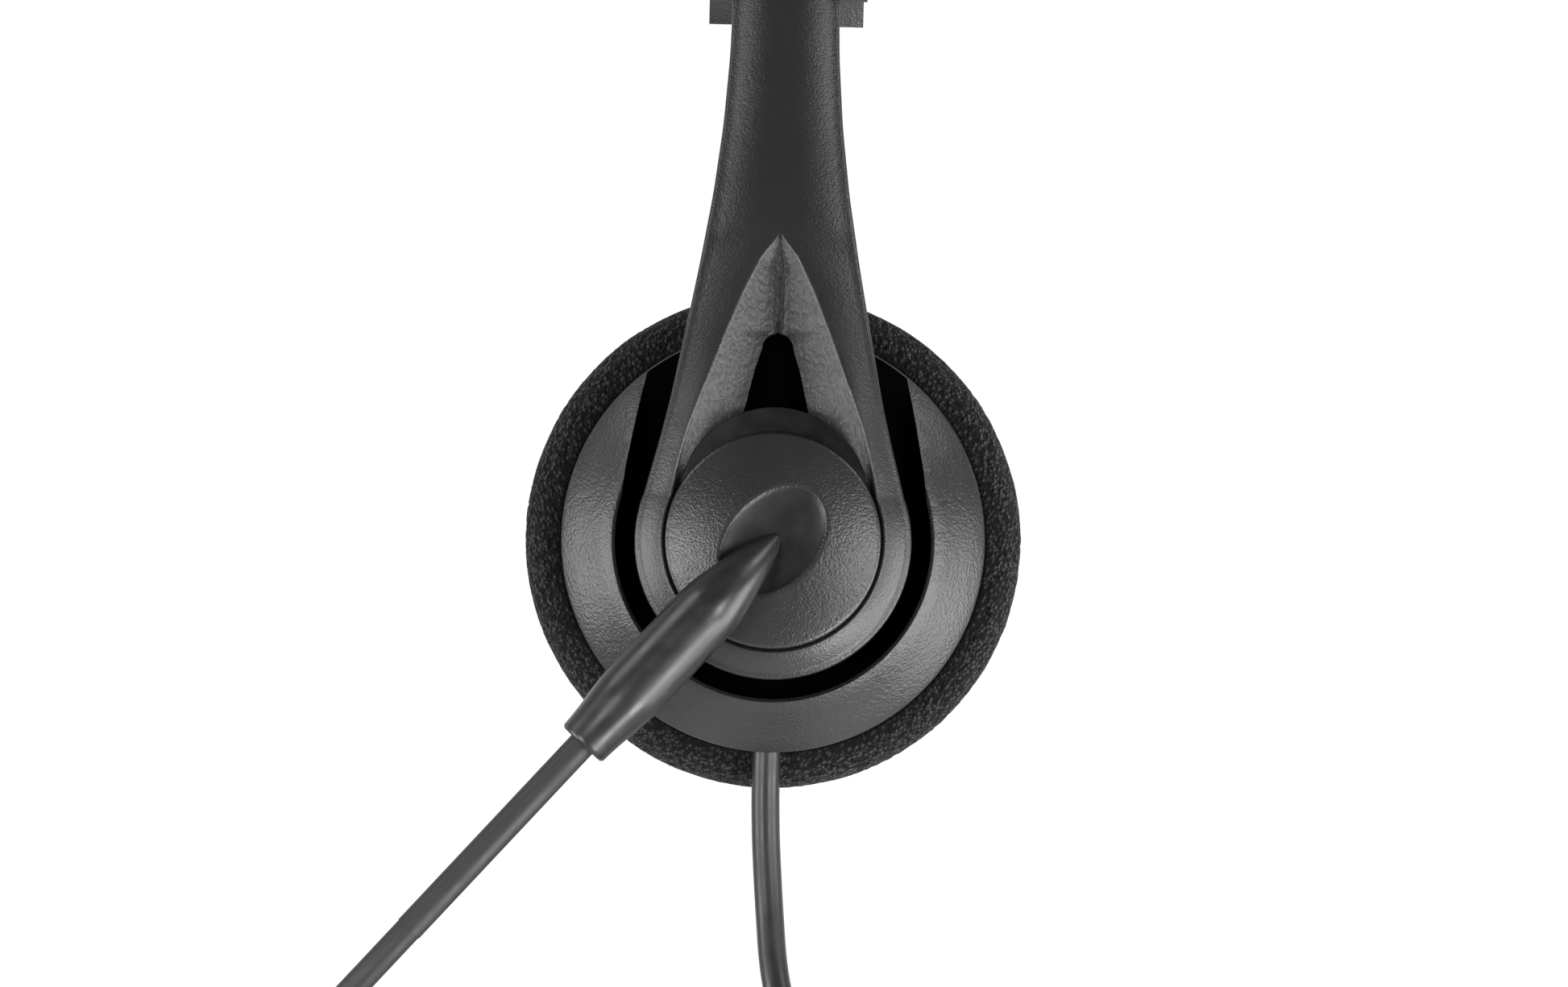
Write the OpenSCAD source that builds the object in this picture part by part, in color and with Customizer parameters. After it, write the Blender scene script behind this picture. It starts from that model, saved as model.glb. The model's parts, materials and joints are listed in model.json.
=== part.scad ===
// Headset microphone: two on-ear cups on a sprung headband, a boom microphone on the wearer's left.
// Millimetres. +Z is up, -X is the wearer's front and -Y the wearer's left, where the boom is.
// The origin is midway between the two foam pads, on the line through both cup centres.
// Side modules are written in a cup frame: x as here, y upwards and z outwards from the head.

/* [Head fit] */
// Distance from the middle of the head to the inner face of each foam pad
pad_face = 70; // [66:1:76]
// How far the straight part of each arm leans inwards, in degrees
lean = 27; // [25:1:29]
// Length of the straight part of an arm and its housing, up to the start of the arch
slope_len = 64; // [62:1:68]

/* [Foam pad] */
// Radius of the foam pad
foam_r = 35.5; // [34:0.5:36]
// Thickness of the foam between the ear and the baffle
foam_t = 12; // [10:0.5:14]
// Rounding of the foam pad's edge
foam_round = 4.5; // [2:0.5:5]

/* [Cup] */
// Outer radius of the cup shell
shell_r = 30; // [29.5:0.1:31]
// Height of the shell's side wall, from the baffle to its rim
skirt_h = 8; // [7.5:0.5:9]
// Wall thickness of the shell
wall = 1.6; // [1.4:0.1:1.8]
// Radius of the lip's inner edge, round the recess
lip_r = 22.35; // [22:0.05:22.8]
// Height of the lip above the shell's rim
lip_h = 6.5; // [5:0.5:6.5]
// Thickness of the baffle plate
baffle_t = 2; // [1.8:0.1:2.2]
// Radius of the well that holds the swivel
well_r = 13; // [12.5:0.1:13.5]
// Radius of the driver's frame
driver_r = 19.5; // [18:0.5:20]

/* [Yoke] */
// Thickness of the yoke arm
arm_t = 3.7; // [3.4:0.1:4]
// Outer radius of the yoke's ring
ring_r = 19.65; // [19.4:0.05:19.8]
// Height above the cup centre where the arm starts to bend inwards
bend_z = 12; // [10:1:14]
// Radius of the bend in the arm
bend_r = 85; // [80:1:90]
// Depth of the pocket that the hub sits in
pocket_d = 2.2; // [2:0.1:2.4]
// Diameter of the swivel cross's journals
journal_d = 3.4; // [3:0.1:3.6]

/* [Headband] */
// Width of the band
band_w = 18; // [16:1:20]
// Thickness of the band's steel spring strip
strip_t = 1; // [0.8:0.1:1.2]
// Thickness of the pad under the top of the band
top_pad_t = 7; // [5:0.5:9]
// Angle that the pad covers, in degrees
top_pad_angle = 78; // [60:2:90]
// Width of each end housing
housing_w = 23.2; // [23:0.1:24]
// Thickness of each end housing
housing_t = 8.4; // [8:0.1:9]

/* [Boom] */
// Radius of the hub disc
hub_r = 15.3; // [15:0.1:15.3]
// How far the hub's dome rises
hub_rise = 2.3; // [1.5:0.1:3]
// Angle of the boom below the horizontal, towards the front
boom_angle = 48.2; // [40:0.1:60]
// Diameter of the boom tube
tube_d = 4; // [3.5:0.1:4.5]
// Largest diameter of the boom holder
holder_d = 9.5; // [9:0.1:9.8]
// Distance from the hub centre to the holder's end
holder_end = 39.3; // [36:0.1:42]
// Distance from the hub centre to where the tube starts to bend towards the mouth
tube_straight = 75; // [70:1:90]
// Radius of the tube's bend
tube_bend_r = 55; // [40:1:70]
// Angle of the tube's bend, in degrees
tube_bend = 50; // [30:1:60]

/* [Microphone] */
// Length of the microphone housing
mic_len = 26; // [24:1:30]
// Width of the microphone housing
mic_w = 13; // [12.6:0.1:14]
// Thickness of the microphone housing
mic_t = 9; // [8.6:0.1:10]

/* [Cable] */
// Diameter of the cable
cable_d = 4; // [3.5:0.1:4]
// Length of the hank's straight runs
hank_run = 66; // [60:1:70]

/* [Hidden] */
$fn = 96;
eps = 0.01;
slip = 0.1;

// Depths, measured outwards from the middle of the head
baffle_h = pad_face + foam_t;
skirt_base = baffle_h + baffle_t;
rim_h = skirt_base + skirt_h;
lip_top = rim_h + lip_h;
floor_h = rim_h + 1;
well_h = skirt_base + 5;
pivot_h = well_h + 4.2;
arm_in = pivot_h + 4.1;
arm_out = arm_in + arm_t;
pocket_h = arm_out - pocket_d;
hub_base = pocket_h + 1.25;
hub_edge = arm_out + 0.4;
hub_top = hub_edge + hub_rise;
boom_h = arm_out + 0.5 + holder_d / 2;

// Arm and arch
bend_centre_h = arm_in + arm_t / 2 - bend_r;
slope_start_h = bend_centre_h + bend_r * cos(lean);
slope_start_z = bend_z + bend_r * sin(lean);
arch_end_h = slope_start_h - slope_len * sin(lean);
arch_r = arch_end_h / cos(lean);
arch_z = slope_start_z + slope_len * cos(lean) - arch_r * sin(lean);
arch_angle = 180 - 2 * lean;

// Half widths of the yoke arm at heights above the hub, as [height, half width]
arm_side = [[3, 19.3], [8, 18], [14, 16.4], [20, 15], [30, 13.1], [40, 11.3], [50, 9.7],
            [60, 8.5], [70, 7.8], [78, 7.6], [120, 7.6]];
// Half widths of the A-shaped opening between the yoke's legs
opening_side = [[6.3, 14.4], [10, 13.8], [16, 12.2], [22, 10], [29, 7.4], [35, 5], [40, 2.6], [43.3, 0.2]];
// Half widths of the hole through the yoke, inside that opening, and its rounded top
through_side = [[17, 4.9], [24.5, 3.2], [28.4, 2.05]];
through_top = 27.8;
through_r = 2.2;
// Half widths of the channel that the cup's lip leaves for the arm
channel_side = [[0, lip_r], [4, 21.8], [10, 21.1], [17, 19.8], [23, 18.5], [34, 16]];
// Visible top of the bearing plate, a disc set above the hub's centre
crescent_r = 13.4;
crescent_z = 5.5;

// Arm in its housing, measured up the slope from the end of the bend
arm_top = 50.4;
mouth = 31.9;
channel_top = 63.2;
pocket_bottom = 63.8;
housing_top = 68;
channel_w = 16.6;
channel_t = arm_t + 0.4;

// Swivel cross and its ears
ear_in = 7.8;
ear_out = 10.2;
ear_w = 6;
bore_d = journal_d + 0.1;
cross_w = 8;
cross_t = 3.6;

// Hub shaft and what holds it
shaft_d = 8;
bush_d = 10;
washer_h = arm_in - 0.35;
clip_h = washer_h - 0.85;
shaft_end = clip_h - 0.4;
washer_r = 6.6;
clip_r = 6.2;
wire_d = 3;

// Boom holder: where each stretch of the sleeve starts along the boom, and its radii
nose_x = -1.1;
swell_x = 4;
body_x = 12;
taper_x = 30.6;
neck_x = 35.8;
nose_r = 1;
swell_r = 3;
neck_r = 3.9;
end_round = 0.4;

// Boom tube: where it starts in the holder, its straight tip and the shoulder at its bend
tube_start = 22.05;
tip_len = 10;
bend_step = 0.1;

// Microphone, measured along the boom's tip
mic_start = 9;
mic_wall = 1.2;
capsule_d = 9.4;
capsule_x = mic_start + mic_len - mic_w / 2;

// Screws of each cup
screw_r = 1;
screw_post_r = 2.2;
screw_ring = 25;
screw_angles = [90, 210, 330];

// Band section, measured outwards from the middle of the spring strip
cover_out = 3;
cover_in = -1.2;
liner_in = -3;
slot_w = 15.4;
slot_out = 0.8;
strip_w = 11;
wire_x = 6.6;

// Cable: the hank hangs with its middle at [hank_x, hank_z], its front turns at hank_front
hank_x = 1;
hank_z = -118;
hank_front = 92;
hank_layers = 4;
hank_end_r = 3 * cable_d + cable_d * 1.5;
hank_waist = 8.5;
// Route of the lead, from the clamp in the cup down to the hank
lead_path = [[-0.2, -88, -22], [-0.2, -88, -30], [-0.2, -88, -36], [0, -88.2, -42], [0.4, -88.6, -48],
             [0.9, -89.4, -54], [1.5, -91, -60], [2.8, -92.8, -66], [5.2, -94, -72], [8.4, -94.2, -78],
             [11.2, -93.6, -84], [12.4, -92.6, -90], [10.4, -91.2, -97]];
// Route of the tail, from the hank down to the plug
tail_path = [[16, -90, -140], [17, -90, -148], [17, -90, -156], [16.4, -90, -164],
             [15.4, -90, -172], [14.6, -90, -180], [14.2, -90, -186]];
cable_h = skirt_base + 4;
plug_top = -180;
plug_x = 14.2;
plug_y = -90;
relief_len = 10;
plug_body_len = 24;
plug_body_d = 8.4;
contact_d = 3.5;
tie_w = 14;
tie_t = 1.4;

// ---- Placing ----

// Cup frame of the wearer's left and right
module at_left() {
    rotate([90, 0, 0]) children();
}

module at_right() {
    mirror([0, 1, 0]) at_left() children();
}

// Frame at the foot of the arm's straight part: y up the slope, z outwards from the arm's middle
module on_slope() {
    translate([0, bend_z, bend_centre_h]) rotate([-lean, 0, 0]) translate([0, 0, bend_r]) children();
}

// Frame of the boom: x along the boom from the hub centre, z outwards
module along_boom() {
    rotate([0, 0, 180 + boom_angle]) children();
}

// Frame at the end of the boom's bend: x along the tube, -z towards the mouth
module boom_tip() {
    along_boom() translate([tube_straight + tube_bend_r * sin(tube_bend), 0,
                            boom_h - tube_bend_r * (1 - cos(tube_bend))])
        rotate([0, tube_bend, 0]) children();
}

// Puts its children at each screw of a cup
module at_cup_screws() {
    for (a = screw_angles) rotate([0, 0, a]) translate([screw_ring, 0, 0]) children();
}

// ---- Shapes ----

// Ring or disc about the cup axis, from depth h0 to h1
module tube(r, h0, h1, bore = 0) {
    translate([0, 0, h0]) difference() {
        cylinder(r = r, h = h1 - h0);
        if (bore > 0) translate([0, 0, -1]) cylinder(r = bore, h = h1 - h0 + 2);
    }
}

// Symmetrical outline from a list of [height, half width]
function outline(side) = concat([for (p = side) [p[1], p[0]]],
                                [for (i = [len(side) - 1:-1:0]) [-side[i][1], side[i][0]]]);

// Prism of an outline, from depth h0 to h1
module prism(side, h0, h1) {
    translate([0, 0, h0]) linear_extrude(h1 - h0) polygon(outline(side));
}

// Part of a ring about the head's centre line, symmetrical about the top
module arch(inner, outer, w, angle = arch_angle) {
    translate([0, 0, arch_z]) rotate([0, 90, 0]) rotate([0, 0, 180 - angle / 2])
        rotate_extrude(angle = angle, $fn = 180) translate([arch_r + inner, -w / 2])
            square([outer - inner, w]);
}

// Box centred on x and z, from y0 to y1
module bar(w, y0, y1, z0, z1) {
    translate([-w / 2, y0, z0]) cube([w, y1 - y0, z1 - z0]);
}

// Slot-shaped block: length along x from 0, width along y, from z0 to z1
module stadium(len, w, z0, z1) {
    translate([0, 0, z0]) linear_extrude(z1 - z0) {
        translate([w / 2, 0]) circle(d = w);
        translate([len - w / 2, 0]) circle(d = w);
        translate([w / 2, -w / 2]) square([len - w, w]);
    }
}

// Tube swept along a path by rings of points
function unit(v) = v / norm(v);
function heading(path, i) = unit(path[min(i + 1, len(path) - 1)] - path[max(i - 1, 0)]);
function ring_at(path, i, r, sides) =
    let (t = heading(path, i), u = unit(cross(t, [1, 0, 0])), v = cross(t, u))
    [for (k = [0:sides - 1]) path[i] + r * (cos(360 * k / sides) * u + sin(360 * k / sides) * v)];

module swept(path, d, sides = 12) {
    last = len(path) - 1;
    // Flat sides drawn so that the tube keeps a round cord's cross-section area
    r = d / 2 / sqrt(sides * sin(360 / sides) / (2 * PI));
    points = [for (i = [0:last]) each ring_at(path, i, r, sides)];
    walls = [for (i = [0:last - 1]) for (k = [0:sides - 1])
             let (next = (k + 1) % sides)
             [i * sides + k, i * sides + next, (i + 1) * sides + next, (i + 1) * sides + k]];
    ends = [[for (k = [sides - 1:-1:0]) k], [for (k = [0:sides - 1]) last * sides + k]];
    polyhedron(points = points, faces = concat(walls, ends));
}

// ---- Headband ----

module headband_cover() {
    color("#26272a") difference() {
        arch(cover_in, cover_out, band_w);
        arch(cover_in - 1, slot_out, slot_w, arch_angle + 2);
    }
}

module headband_liner() {
    color("#1d1e20") arch(liner_in, cover_in - 0.05, band_w);
}

module headband_spring() {
    color("silver") arch(-strip_t / 2, strip_t / 2, strip_w);
}

module headband_pad() {
    color("#1a1a1c") translate([0, 0, arch_z]) rotate([0, 90, 0]) rotate([0, 0, 180 - top_pad_angle / 2])
        rotate_extrude(angle = top_pad_angle, $fn = 180)
            translate([arch_r + liner_in - 0.05 - top_pad_t, 0]) top_pad_section(band_w + 5, top_pad_t);
}

// Section of the pad: flat against the band, rounded where it meets the head
module top_pad_section(w, t) {
    translate([t / 2, -w / 2]) square([t / 2, w]);
    translate([0, -w / 2 + t / 2]) square([t / 2 + eps, w - t]);
    for (side = [-1, 1]) translate([t / 2, side * (w - t) / 2]) circle(d = t);
}

module crossover_wire() {
    color("#303134") translate([0, 0, arch_z]) rotate([0, 90, 0]) rotate([0, 0, 180 - arch_angle / 2])
        rotate_extrude(angle = arch_angle, $fn = 180) translate([arch_r, wire_x]) circle(d = 1.4, $fn = 24);
}

// Outer half of an end housing, with the arm's channel and the band's pocket cut into it
module end_housing() {
    color("#222326") on_slope() difference() {
        union() {
            bar(housing_w, mouth, housing_top, -channel_t / 2, housing_t / 2 - 1);
            bar(housing_w - 2, mouth + 1, housing_top - 1, 0, housing_t / 2);
        }
        bar(channel_w, mouth - 1, channel_top, -channel_t / 2 - 1, channel_t / 2);
        bar(band_w + 0.4, pocket_bottom, housing_top + 1, -channel_t, cover_out + 0.2);
        bar(6.4, mouth + 6, mouth + 25, 0, channel_t / 2 + 0.9);
        at_housing_screws() cylinder(r = screw_r, h = 4, center = true);
    }
}

// Places of an end housing's two screws
module at_housing_screws() {
    for (side = [-1, 1])
        translate([side * (housing_w + channel_w) / 4, (mouth + channel_top) / 2, -channel_t / 2]) children();
}

// Inner half of an end housing
module end_cover() {
    color("#222326") on_slope() difference() {
        bar(housing_w, mouth, housing_top, -housing_t / 2, -channel_t / 2 - 0.05);
        bar(band_w + 0.4, pocket_bottom, housing_top + 1, liner_in - 0.25, 0);
        at_housing_screws() cylinder(r = screw_r, h = 8, center = true);
        at_housing_screws() translate([0, 0, -housing_t / 2 + channel_t / 2 - eps])
            cylinder(r = 1.4, h = 0.9);
    }
}

module detent_spring() {
    color("silver") on_slope() {
        bar(5.6, mouth + 7, mouth + 24, channel_t / 2 + 0.4, channel_t / 2 + 0.75);
        for (y = [mouth + 7, mouth + 23]) bar(5.6, y, y + 1, channel_t / 2 + 0.05, channel_t / 2 + 0.75);
    }
}

module housing_screw_pair() {
    color("#9a9b9e") on_slope() at_housing_screws() {
        translate([0, 0, -housing_t / 2 + channel_t / 2 + 0.05]) cylinder(r = 1.3, h = 0.8);
        translate([0, 0, -housing_t / 2 + channel_t / 2 + 0.8]) cylinder(r = screw_r, h = 2.7);
    }
}

module left_end_housing() {
    at_left() end_housing();
}

module left_end_cover() {
    at_left() end_cover();
}

module left_detent_spring() {
    at_left() detent_spring();
}

module right_end_housing() {
    at_right() end_housing();
}

module right_end_cover() {
    at_right() end_cover();
}

module right_detent_spring() {
    at_right() detent_spring();
}

module housing_screws() {
    at_left() housing_screw_pair();
    at_right() housing_screw_pair();
}

// ---- Yokes ----

// Side view of the arm as [depth, height]: straight beside the cup, bent, then leaning inwards
module arm_profile() {
    translate([arm_in, -ring_r - 1]) square([arm_t, ring_r + 1 + bend_z]);
    translate([bend_centre_h, bend_z]) {
        intersection() {
            difference() {
                circle(r = bend_r + arm_t / 2, $fn = 180);
                circle(r = bend_r - arm_t / 2, $fn = 180);
            }
            polygon([[0, 0], [2 * bend_r, 0], [2 * bend_r, 2 * bend_r * tan(lean)]]);
        }
        rotate(lean) translate([bend_r - arm_t / 2, 0]) square([arm_t, arm_top]);
    }
}

module yoke() {
    color("#2b2c2f") difference() {
        union() {
            intersection() {
                rotate([0, -90, 0]) linear_extrude(3 * ring_r, center = true) arm_profile();
                union() {
                    prism(arm_side, 0, arm_out + 1);
                    tube(ring_r, arm_in - 1, arm_out + 1);
                }
            }
            for (x = [-1, 1]) translate([x * (ear_in + ear_out) / 2, 0, 0]) ear();
        }
        prism(opening_side, pocket_h, arm_out + 1);
        tube(hub_r + 0.2, pocket_h, arm_out + 1);
        prism(through_side, arm_in - 12, arm_out + 1);
        translate([0, through_top, 0]) tube(through_r, arm_in - 12, arm_out + 1);
        tube(bush_d / 2, arm_in - 1, arm_out + 1);
        translate([0, 0, pivot_h]) rotate([0, 90, 0]) cylinder(d = bore_d, h = 3 * ear_out, center = true);
    }
}

// Ear that holds a journal running along x
module ear() {
    translate([0, 0, pivot_h]) rotate([0, 90, 0]) cylinder(d = ear_w, h = ear_out - ear_in, center = true);
    translate([-(ear_out - ear_in) / 2, -ear_w / 2, pivot_h])
        cube([ear_out - ear_in, ear_w, arm_in - pivot_h + 0.2]);
}

// Plate behind the hub, with the bush that the hub's shaft turns in
module bearing_plate() {
    color("#141415") difference() {
        union() {
            intersection() {
                translate([0, crescent_z, 0]) tube(crescent_r, pocket_h, pocket_h + 1);
                union() {
                    prism(opening_side, pocket_h - 1, pocket_h + 2);
                    tube(hub_r, pocket_h - 1, pocket_h + 2);
                }
            }
            tube(bush_d / 2, arm_in + 0.05, pocket_h + 0.5);
        }
        tube(shaft_d / 2 + 0.05, arm_in - 1, arm_out);
    }
}

// Disc with a shallow dome, from depth base to the dome's top
module domed_disc(r, base, edge, top) {
    rise = top - edge;
    dome_r = (r * r + rise * rise) / (2 * rise);
    rotate_extrude() intersection() {
        translate([0, base]) square([r, top - base]);
        translate([0, top - dome_r]) circle(r = dome_r, $fn = 180);
    }
}

module left_yoke() {
    at_left() yoke();
}

module left_bearing_plate() {
    at_left() bearing_plate();
}

module right_yoke() {
    at_right() yoke();
}

module right_bearing_plate() {
    at_right() bearing_plate();
}

module right_pivot_cap() {
    color("#303134") at_right() {
        domed_disc(hub_r, pocket_h + 1.05, hub_edge, hub_top);
        tube(shaft_d / 2, washer_h, pocket_h + 1.2);
    }
}

// ---- Swivel crosses ----

// Four-armed cross: two journals turn in the yoke's ears and two in the cup's
module swivel_cross() {
    color("#8c8d90") translate([0, 0, pivot_h]) {
        cube([cross_w, cross_w, cross_t], center = true);
        rotate([0, 90, 0]) cylinder(d = journal_d, h = 2 * ear_out, center = true);
        rotate([90, 0, 0]) cylinder(d = journal_d, h = 2 * ear_out, center = true);
    }
}

module left_swivel_cross() {
    at_left() swivel_cross();
}

module right_swivel_cross() {
    at_right() swivel_cross();
}

// ---- Cups ----

// Half section of the shell as [radius, depth]: well, recess floor, lip, side wall, and back inside
function shell_section() =
    let (slope = lip_h / (shell_r - lip_r), inner = shell_r - wall,
         lip_in = lip_r + wall, well_in = well_r + wall)
    [[0, well_h], [well_r, well_h], [well_r, floor_h], [lip_r, floor_h], [lip_r, lip_top - 0.6],
     [lip_r + 0.5, lip_top], [shell_r - 0.4, rim_h + 0.3], [shell_r, rim_h - 0.2], [shell_r, skirt_base],
     [inner, skirt_base], [inner, rim_h - wall / 2], [lip_in, rim_h - wall / 2 + (inner - lip_in) * slope],
     [lip_in, floor_h - wall], [well_in, floor_h - wall], [well_in, well_h - wall], [0, well_h - wall]];

module shell(cable_exit) {
    color("#2e2f32") difference() {
        union() {
            difference() {
                rotate_extrude() polygon(shell_section());
                prism(channel_side, floor_h, lip_top + 2);
            }
            // Roof of the cavity, where the channel opens the lip
            intersection() {
                prism(channel_side, floor_h - wall, floor_h);
                tube(shell_r - 0.2, floor_h - wall, floor_h, well_r + wall);
            }
            // Side wall carried up to that roof
            intersection() {
                tube(shell_r - 0.2, rim_h - 2, floor_h, shell_r - wall);
                translate([-lip_r, 0, 0]) cube([2 * lip_r, 2 * shell_r, floor_h]);
                prism(channel_side, 0, floor_h);
            }
            for (y = [-1, 1]) rotate([0, 0, 90]) translate([y * (ear_in + ear_out) / 2, 0, 0]) cup_ear();
            at_cup_screws() tube(screw_post_r, skirt_base + 1.6, floor_h - wall + 0.1);
        }
        at_cup_screws() tube(screw_r, skirt_base, floor_h - wall - 1);
        translate([0, 0, pivot_h]) rotate([90, 0, 0])
            cylinder(d = bore_d, h = 2 * ear_out + 1, center = true);
        if (cable_exit) translate([0, -shell_r + 3, cable_h]) rotate([90, 0, 0]) cylinder(r = 3, h = 5);
    }
}

// Ear that rises from the floor of the well to hold a journal
module cup_ear() {
    translate([0, 0, pivot_h]) rotate([0, 90, 0])
        cylinder(d = ear_w - 0.8, h = ear_out - ear_in, center = true);
    translate([-(ear_out - ear_in) / 2, -(ear_w - 0.8) / 2, well_h - 0.2])
        cube([ear_out - ear_in, ear_w - 0.8, pivot_h - well_h + 0.2]);
}

module baffle() {
    color("#242528") difference() {
        union() {
            tube(shell_r + 1, baffle_h, skirt_base);
            tube(shell_r - wall - slip, skirt_base, skirt_base + 1.5, shell_r - wall - 1.6);
        }
        tube(driver_r - 2, skirt_base - 0.4, skirt_base + 2);
        grille_holes();
        at_cup_screws() tube(screw_r + 0.2, baffle_h - 1, skirt_base + 2);
        at_cup_screws() tube(2.1, baffle_h - 1, baffle_h + 1);
        translate([0, -shell_r, cable_h]) cube([7, 8, 7], center = true);
    }
}

// Rings of sound holes in front of the driver
module grille_holes() {
    hole_r = 1.1;
    tube(hole_r, baffle_h - 1, skirt_base + 1);
    for (ring = [1:4]) for (k = [0:6 * ring - 1])
        rotate([0, 0, 60 * k / ring]) translate([3.8 * ring, 0, 0])
            tube(hole_r, baffle_h - 1, skirt_base + 1);
}

module acoustic_cloth() {
    color("#0e0e0f") tube(driver_r - 2.2, skirt_base - 0.38, skirt_base - 0.1);
}

module driver_frame() {
    color("#3a3b3e") difference() {
        tube(driver_r, skirt_base + 0.05, skirt_base + 2);
        tube(driver_r - 1.8, skirt_base - 1, skirt_base + 1.2);
        tube(11.2, skirt_base - 1, skirt_base + 3);
        for (a = [0:45:315]) rotate([0, 0, a]) translate([14.5, 0, 0])
            tube(1.6, skirt_base, skirt_base + 3);
    }
}

module magnet() {
    color("#85868a") difference() {
        tube(11.1, skirt_base + 1.3, skirt_base + 3.2);
        tube(7.2, skirt_base + 1, skirt_base + 2, 5.6);
    }
}

module voice_coil() {
    color("#b06a3b") tube(6.8, skirt_base + 0.5, skirt_base + 1.7, 6.2);
}

// Thin dome and surround that the voice coil moves, as [radius, depth] round its section
module diaphragm() {
    coil_r = 5.6;
    section = [[0, 0.05], [coil_r, 0.25], [driver_r - 2, 0.15],
               [driver_r - 2, 0.35], [coil_r, 0.48], [0, 0.28]];
    color("#c9c2ad") rotate_extrude() translate([0, skirt_base]) polygon(section);
}

module damper() {
    color("#17181a") tube(17, skirt_base + 2.05, skirt_base + 2.9, 11.6);
}

module cup_screw_group() {
    color("#9a9b9e") at_cup_screws() {
        tube(2, baffle_h + 0.2, baffle_h + 1);
        tube(screw_r, baffle_h + 0.9, floor_h - wall - 1.6);
    }
}

// Foam disc with a skirt that hooks round the baffle's edge
module foam_pad() {
    skirt_back = skirt_base + 1.2;
    color("#1c1c1d") rotate_extrude() difference() {
        rounded_half(foam_r, pad_face, skirt_back, foam_round);
        translate([-1, baffle_h - 0.05]) square([shell_r + 1.1 + 1, baffle_t + 0.1]);
        translate([-1, baffle_h]) square([shell_r + 0.3 + 1, baffle_t + 4]);
    }
}

// Half section of a disc with rounded edges
module rounded_half(r, h0, h1, round) {
    translate([0, h0]) square([r - round, h1 - h0]);
    translate([0, h0 + round]) square([r, h1 - h0 - 2 * round]);
    for (h = [h0 + round, h1 - round]) translate([r - round, h]) circle(r = round, $fn = 48);
}

module left_shell() {
    at_left() shell(true);
}

module left_baffle() {
    at_left() baffle();
}

module left_acoustic_cloth() {
    at_left() acoustic_cloth();
}

module left_driver_frame() {
    at_left() driver_frame();
}

module left_magnet() {
    at_left() magnet();
}

module left_voice_coil() {
    at_left() voice_coil();
}

module left_diaphragm() {
    at_left() diaphragm();
}

module left_damper() {
    at_left() damper();
}

module left_cup_screws() {
    at_left() cup_screw_group();
}

module left_foam_pad() {
    at_left() foam_pad();
}

module right_shell() {
    at_right() shell(false);
}

module right_baffle() {
    at_right() baffle();
}

module right_acoustic_cloth() {
    at_right() acoustic_cloth();
}

module right_driver_frame() {
    at_right() driver_frame();
}

module right_magnet() {
    at_right() magnet();
}

module right_voice_coil() {
    at_right() voice_coil();
}

module right_diaphragm() {
    at_right() diaphragm();
}

module right_damper() {
    at_right() damper();
}

module right_cup_screws() {
    at_right() cup_screw_group();
}

module right_foam_pad() {
    at_right() foam_pad();
}

// ---- Boom ----

// Half widths of the holder's foot along the boom: a blunt nose that widens to the sleeve
foot_side = [[nose_x, 0.9], [0.4, 1.6], [swell_x, 3], [8, 4.1], [body_x, holder_d / 2], [14, holder_d / 2]];

// Outline of that foot seen from outside
module holder_plan(grow = 0) {
    upper = [for (p = foot_side) [p[0] - (p[0] == nose_x ? grow : 0), p[1] + grow]];
    lower = [for (i = [len(upper) - 1:-1:0]) [upper[i][0], -upper[i][1]]];
    polygon(concat(upper, lower));
}

module boom_hub() {
    color("#303134") at_left() difference() {
        union() {
            domed_disc(hub_r, hub_base, hub_edge, hub_top);
            tube(shaft_d / 2, shaft_end, hub_base + 0.5);
        }
        // Scoop round the holder's nose
        translate([0, 0, hub_top + 14]) sphere(r = 15.6);
        along_boom() translate([0, 0, hub_edge]) linear_extrude(hub_rise + 1) holder_plan(0.02);
        tube(wire_d / 2, shaft_end - 1, hub_edge);
        // Groove for the clip
        tube(shaft_d / 2 + 1, clip_h - 0.05, clip_h + 0.75, shaft_d / 2 - 1);
    }
}

module boom_washer() {
    color("silver") at_left() tube(washer_r, washer_h + 0.02, arm_in - 0.02, shaft_d / 2 + 0.15);
}

module boom_clip() {
    color("silver") at_left() difference() {
        tube(clip_r, clip_h, clip_h + 0.7, shaft_d / 2 - 0.9);
        translate([-7, -1.5, clip_h - 1]) cube([7, 3, 3]);
    }
}

// Sleeve that grips the tube, with a foot that stands in the hub
module boom_holder() {
    color("#232427") at_left() along_boom() difference() {
        union() {
            translate([0, 0, hub_edge]) linear_extrude(boom_h - hub_edge) intersection() {
                holder_plan();
                translate([-2, -10]) square([16, 20]);
            }
            translate([0, 0, boom_h]) rotate([0, 90, 0]) {
                translate([0, 0, nose_x]) cylinder(r1 = nose_r, r2 = swell_r, h = swell_x - nose_x);
                translate([0, 0, swell_x]) cylinder(r1 = swell_r, r2 = holder_d / 2, h = body_x - swell_x);
                translate([0, 0, body_x]) cylinder(r = holder_d / 2, h = taper_x - body_x);
                translate([0, 0, taper_x]) cylinder(r1 = holder_d / 2, r2 = neck_r, h = neck_x - taper_x);
                translate([0, 0, neck_x]) cylinder(r = neck_r, h = holder_end - end_round - neck_x);
                translate([0, 0, holder_end - end_round])
                    cylinder(r1 = neck_r, r2 = neck_r - end_round, h = end_round);
            }
        }
        translate([tube_start - 0.05, 0, boom_h]) rotate([0, 90, 0]) cylinder(d = tube_d, h = 30);
    }
}

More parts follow.
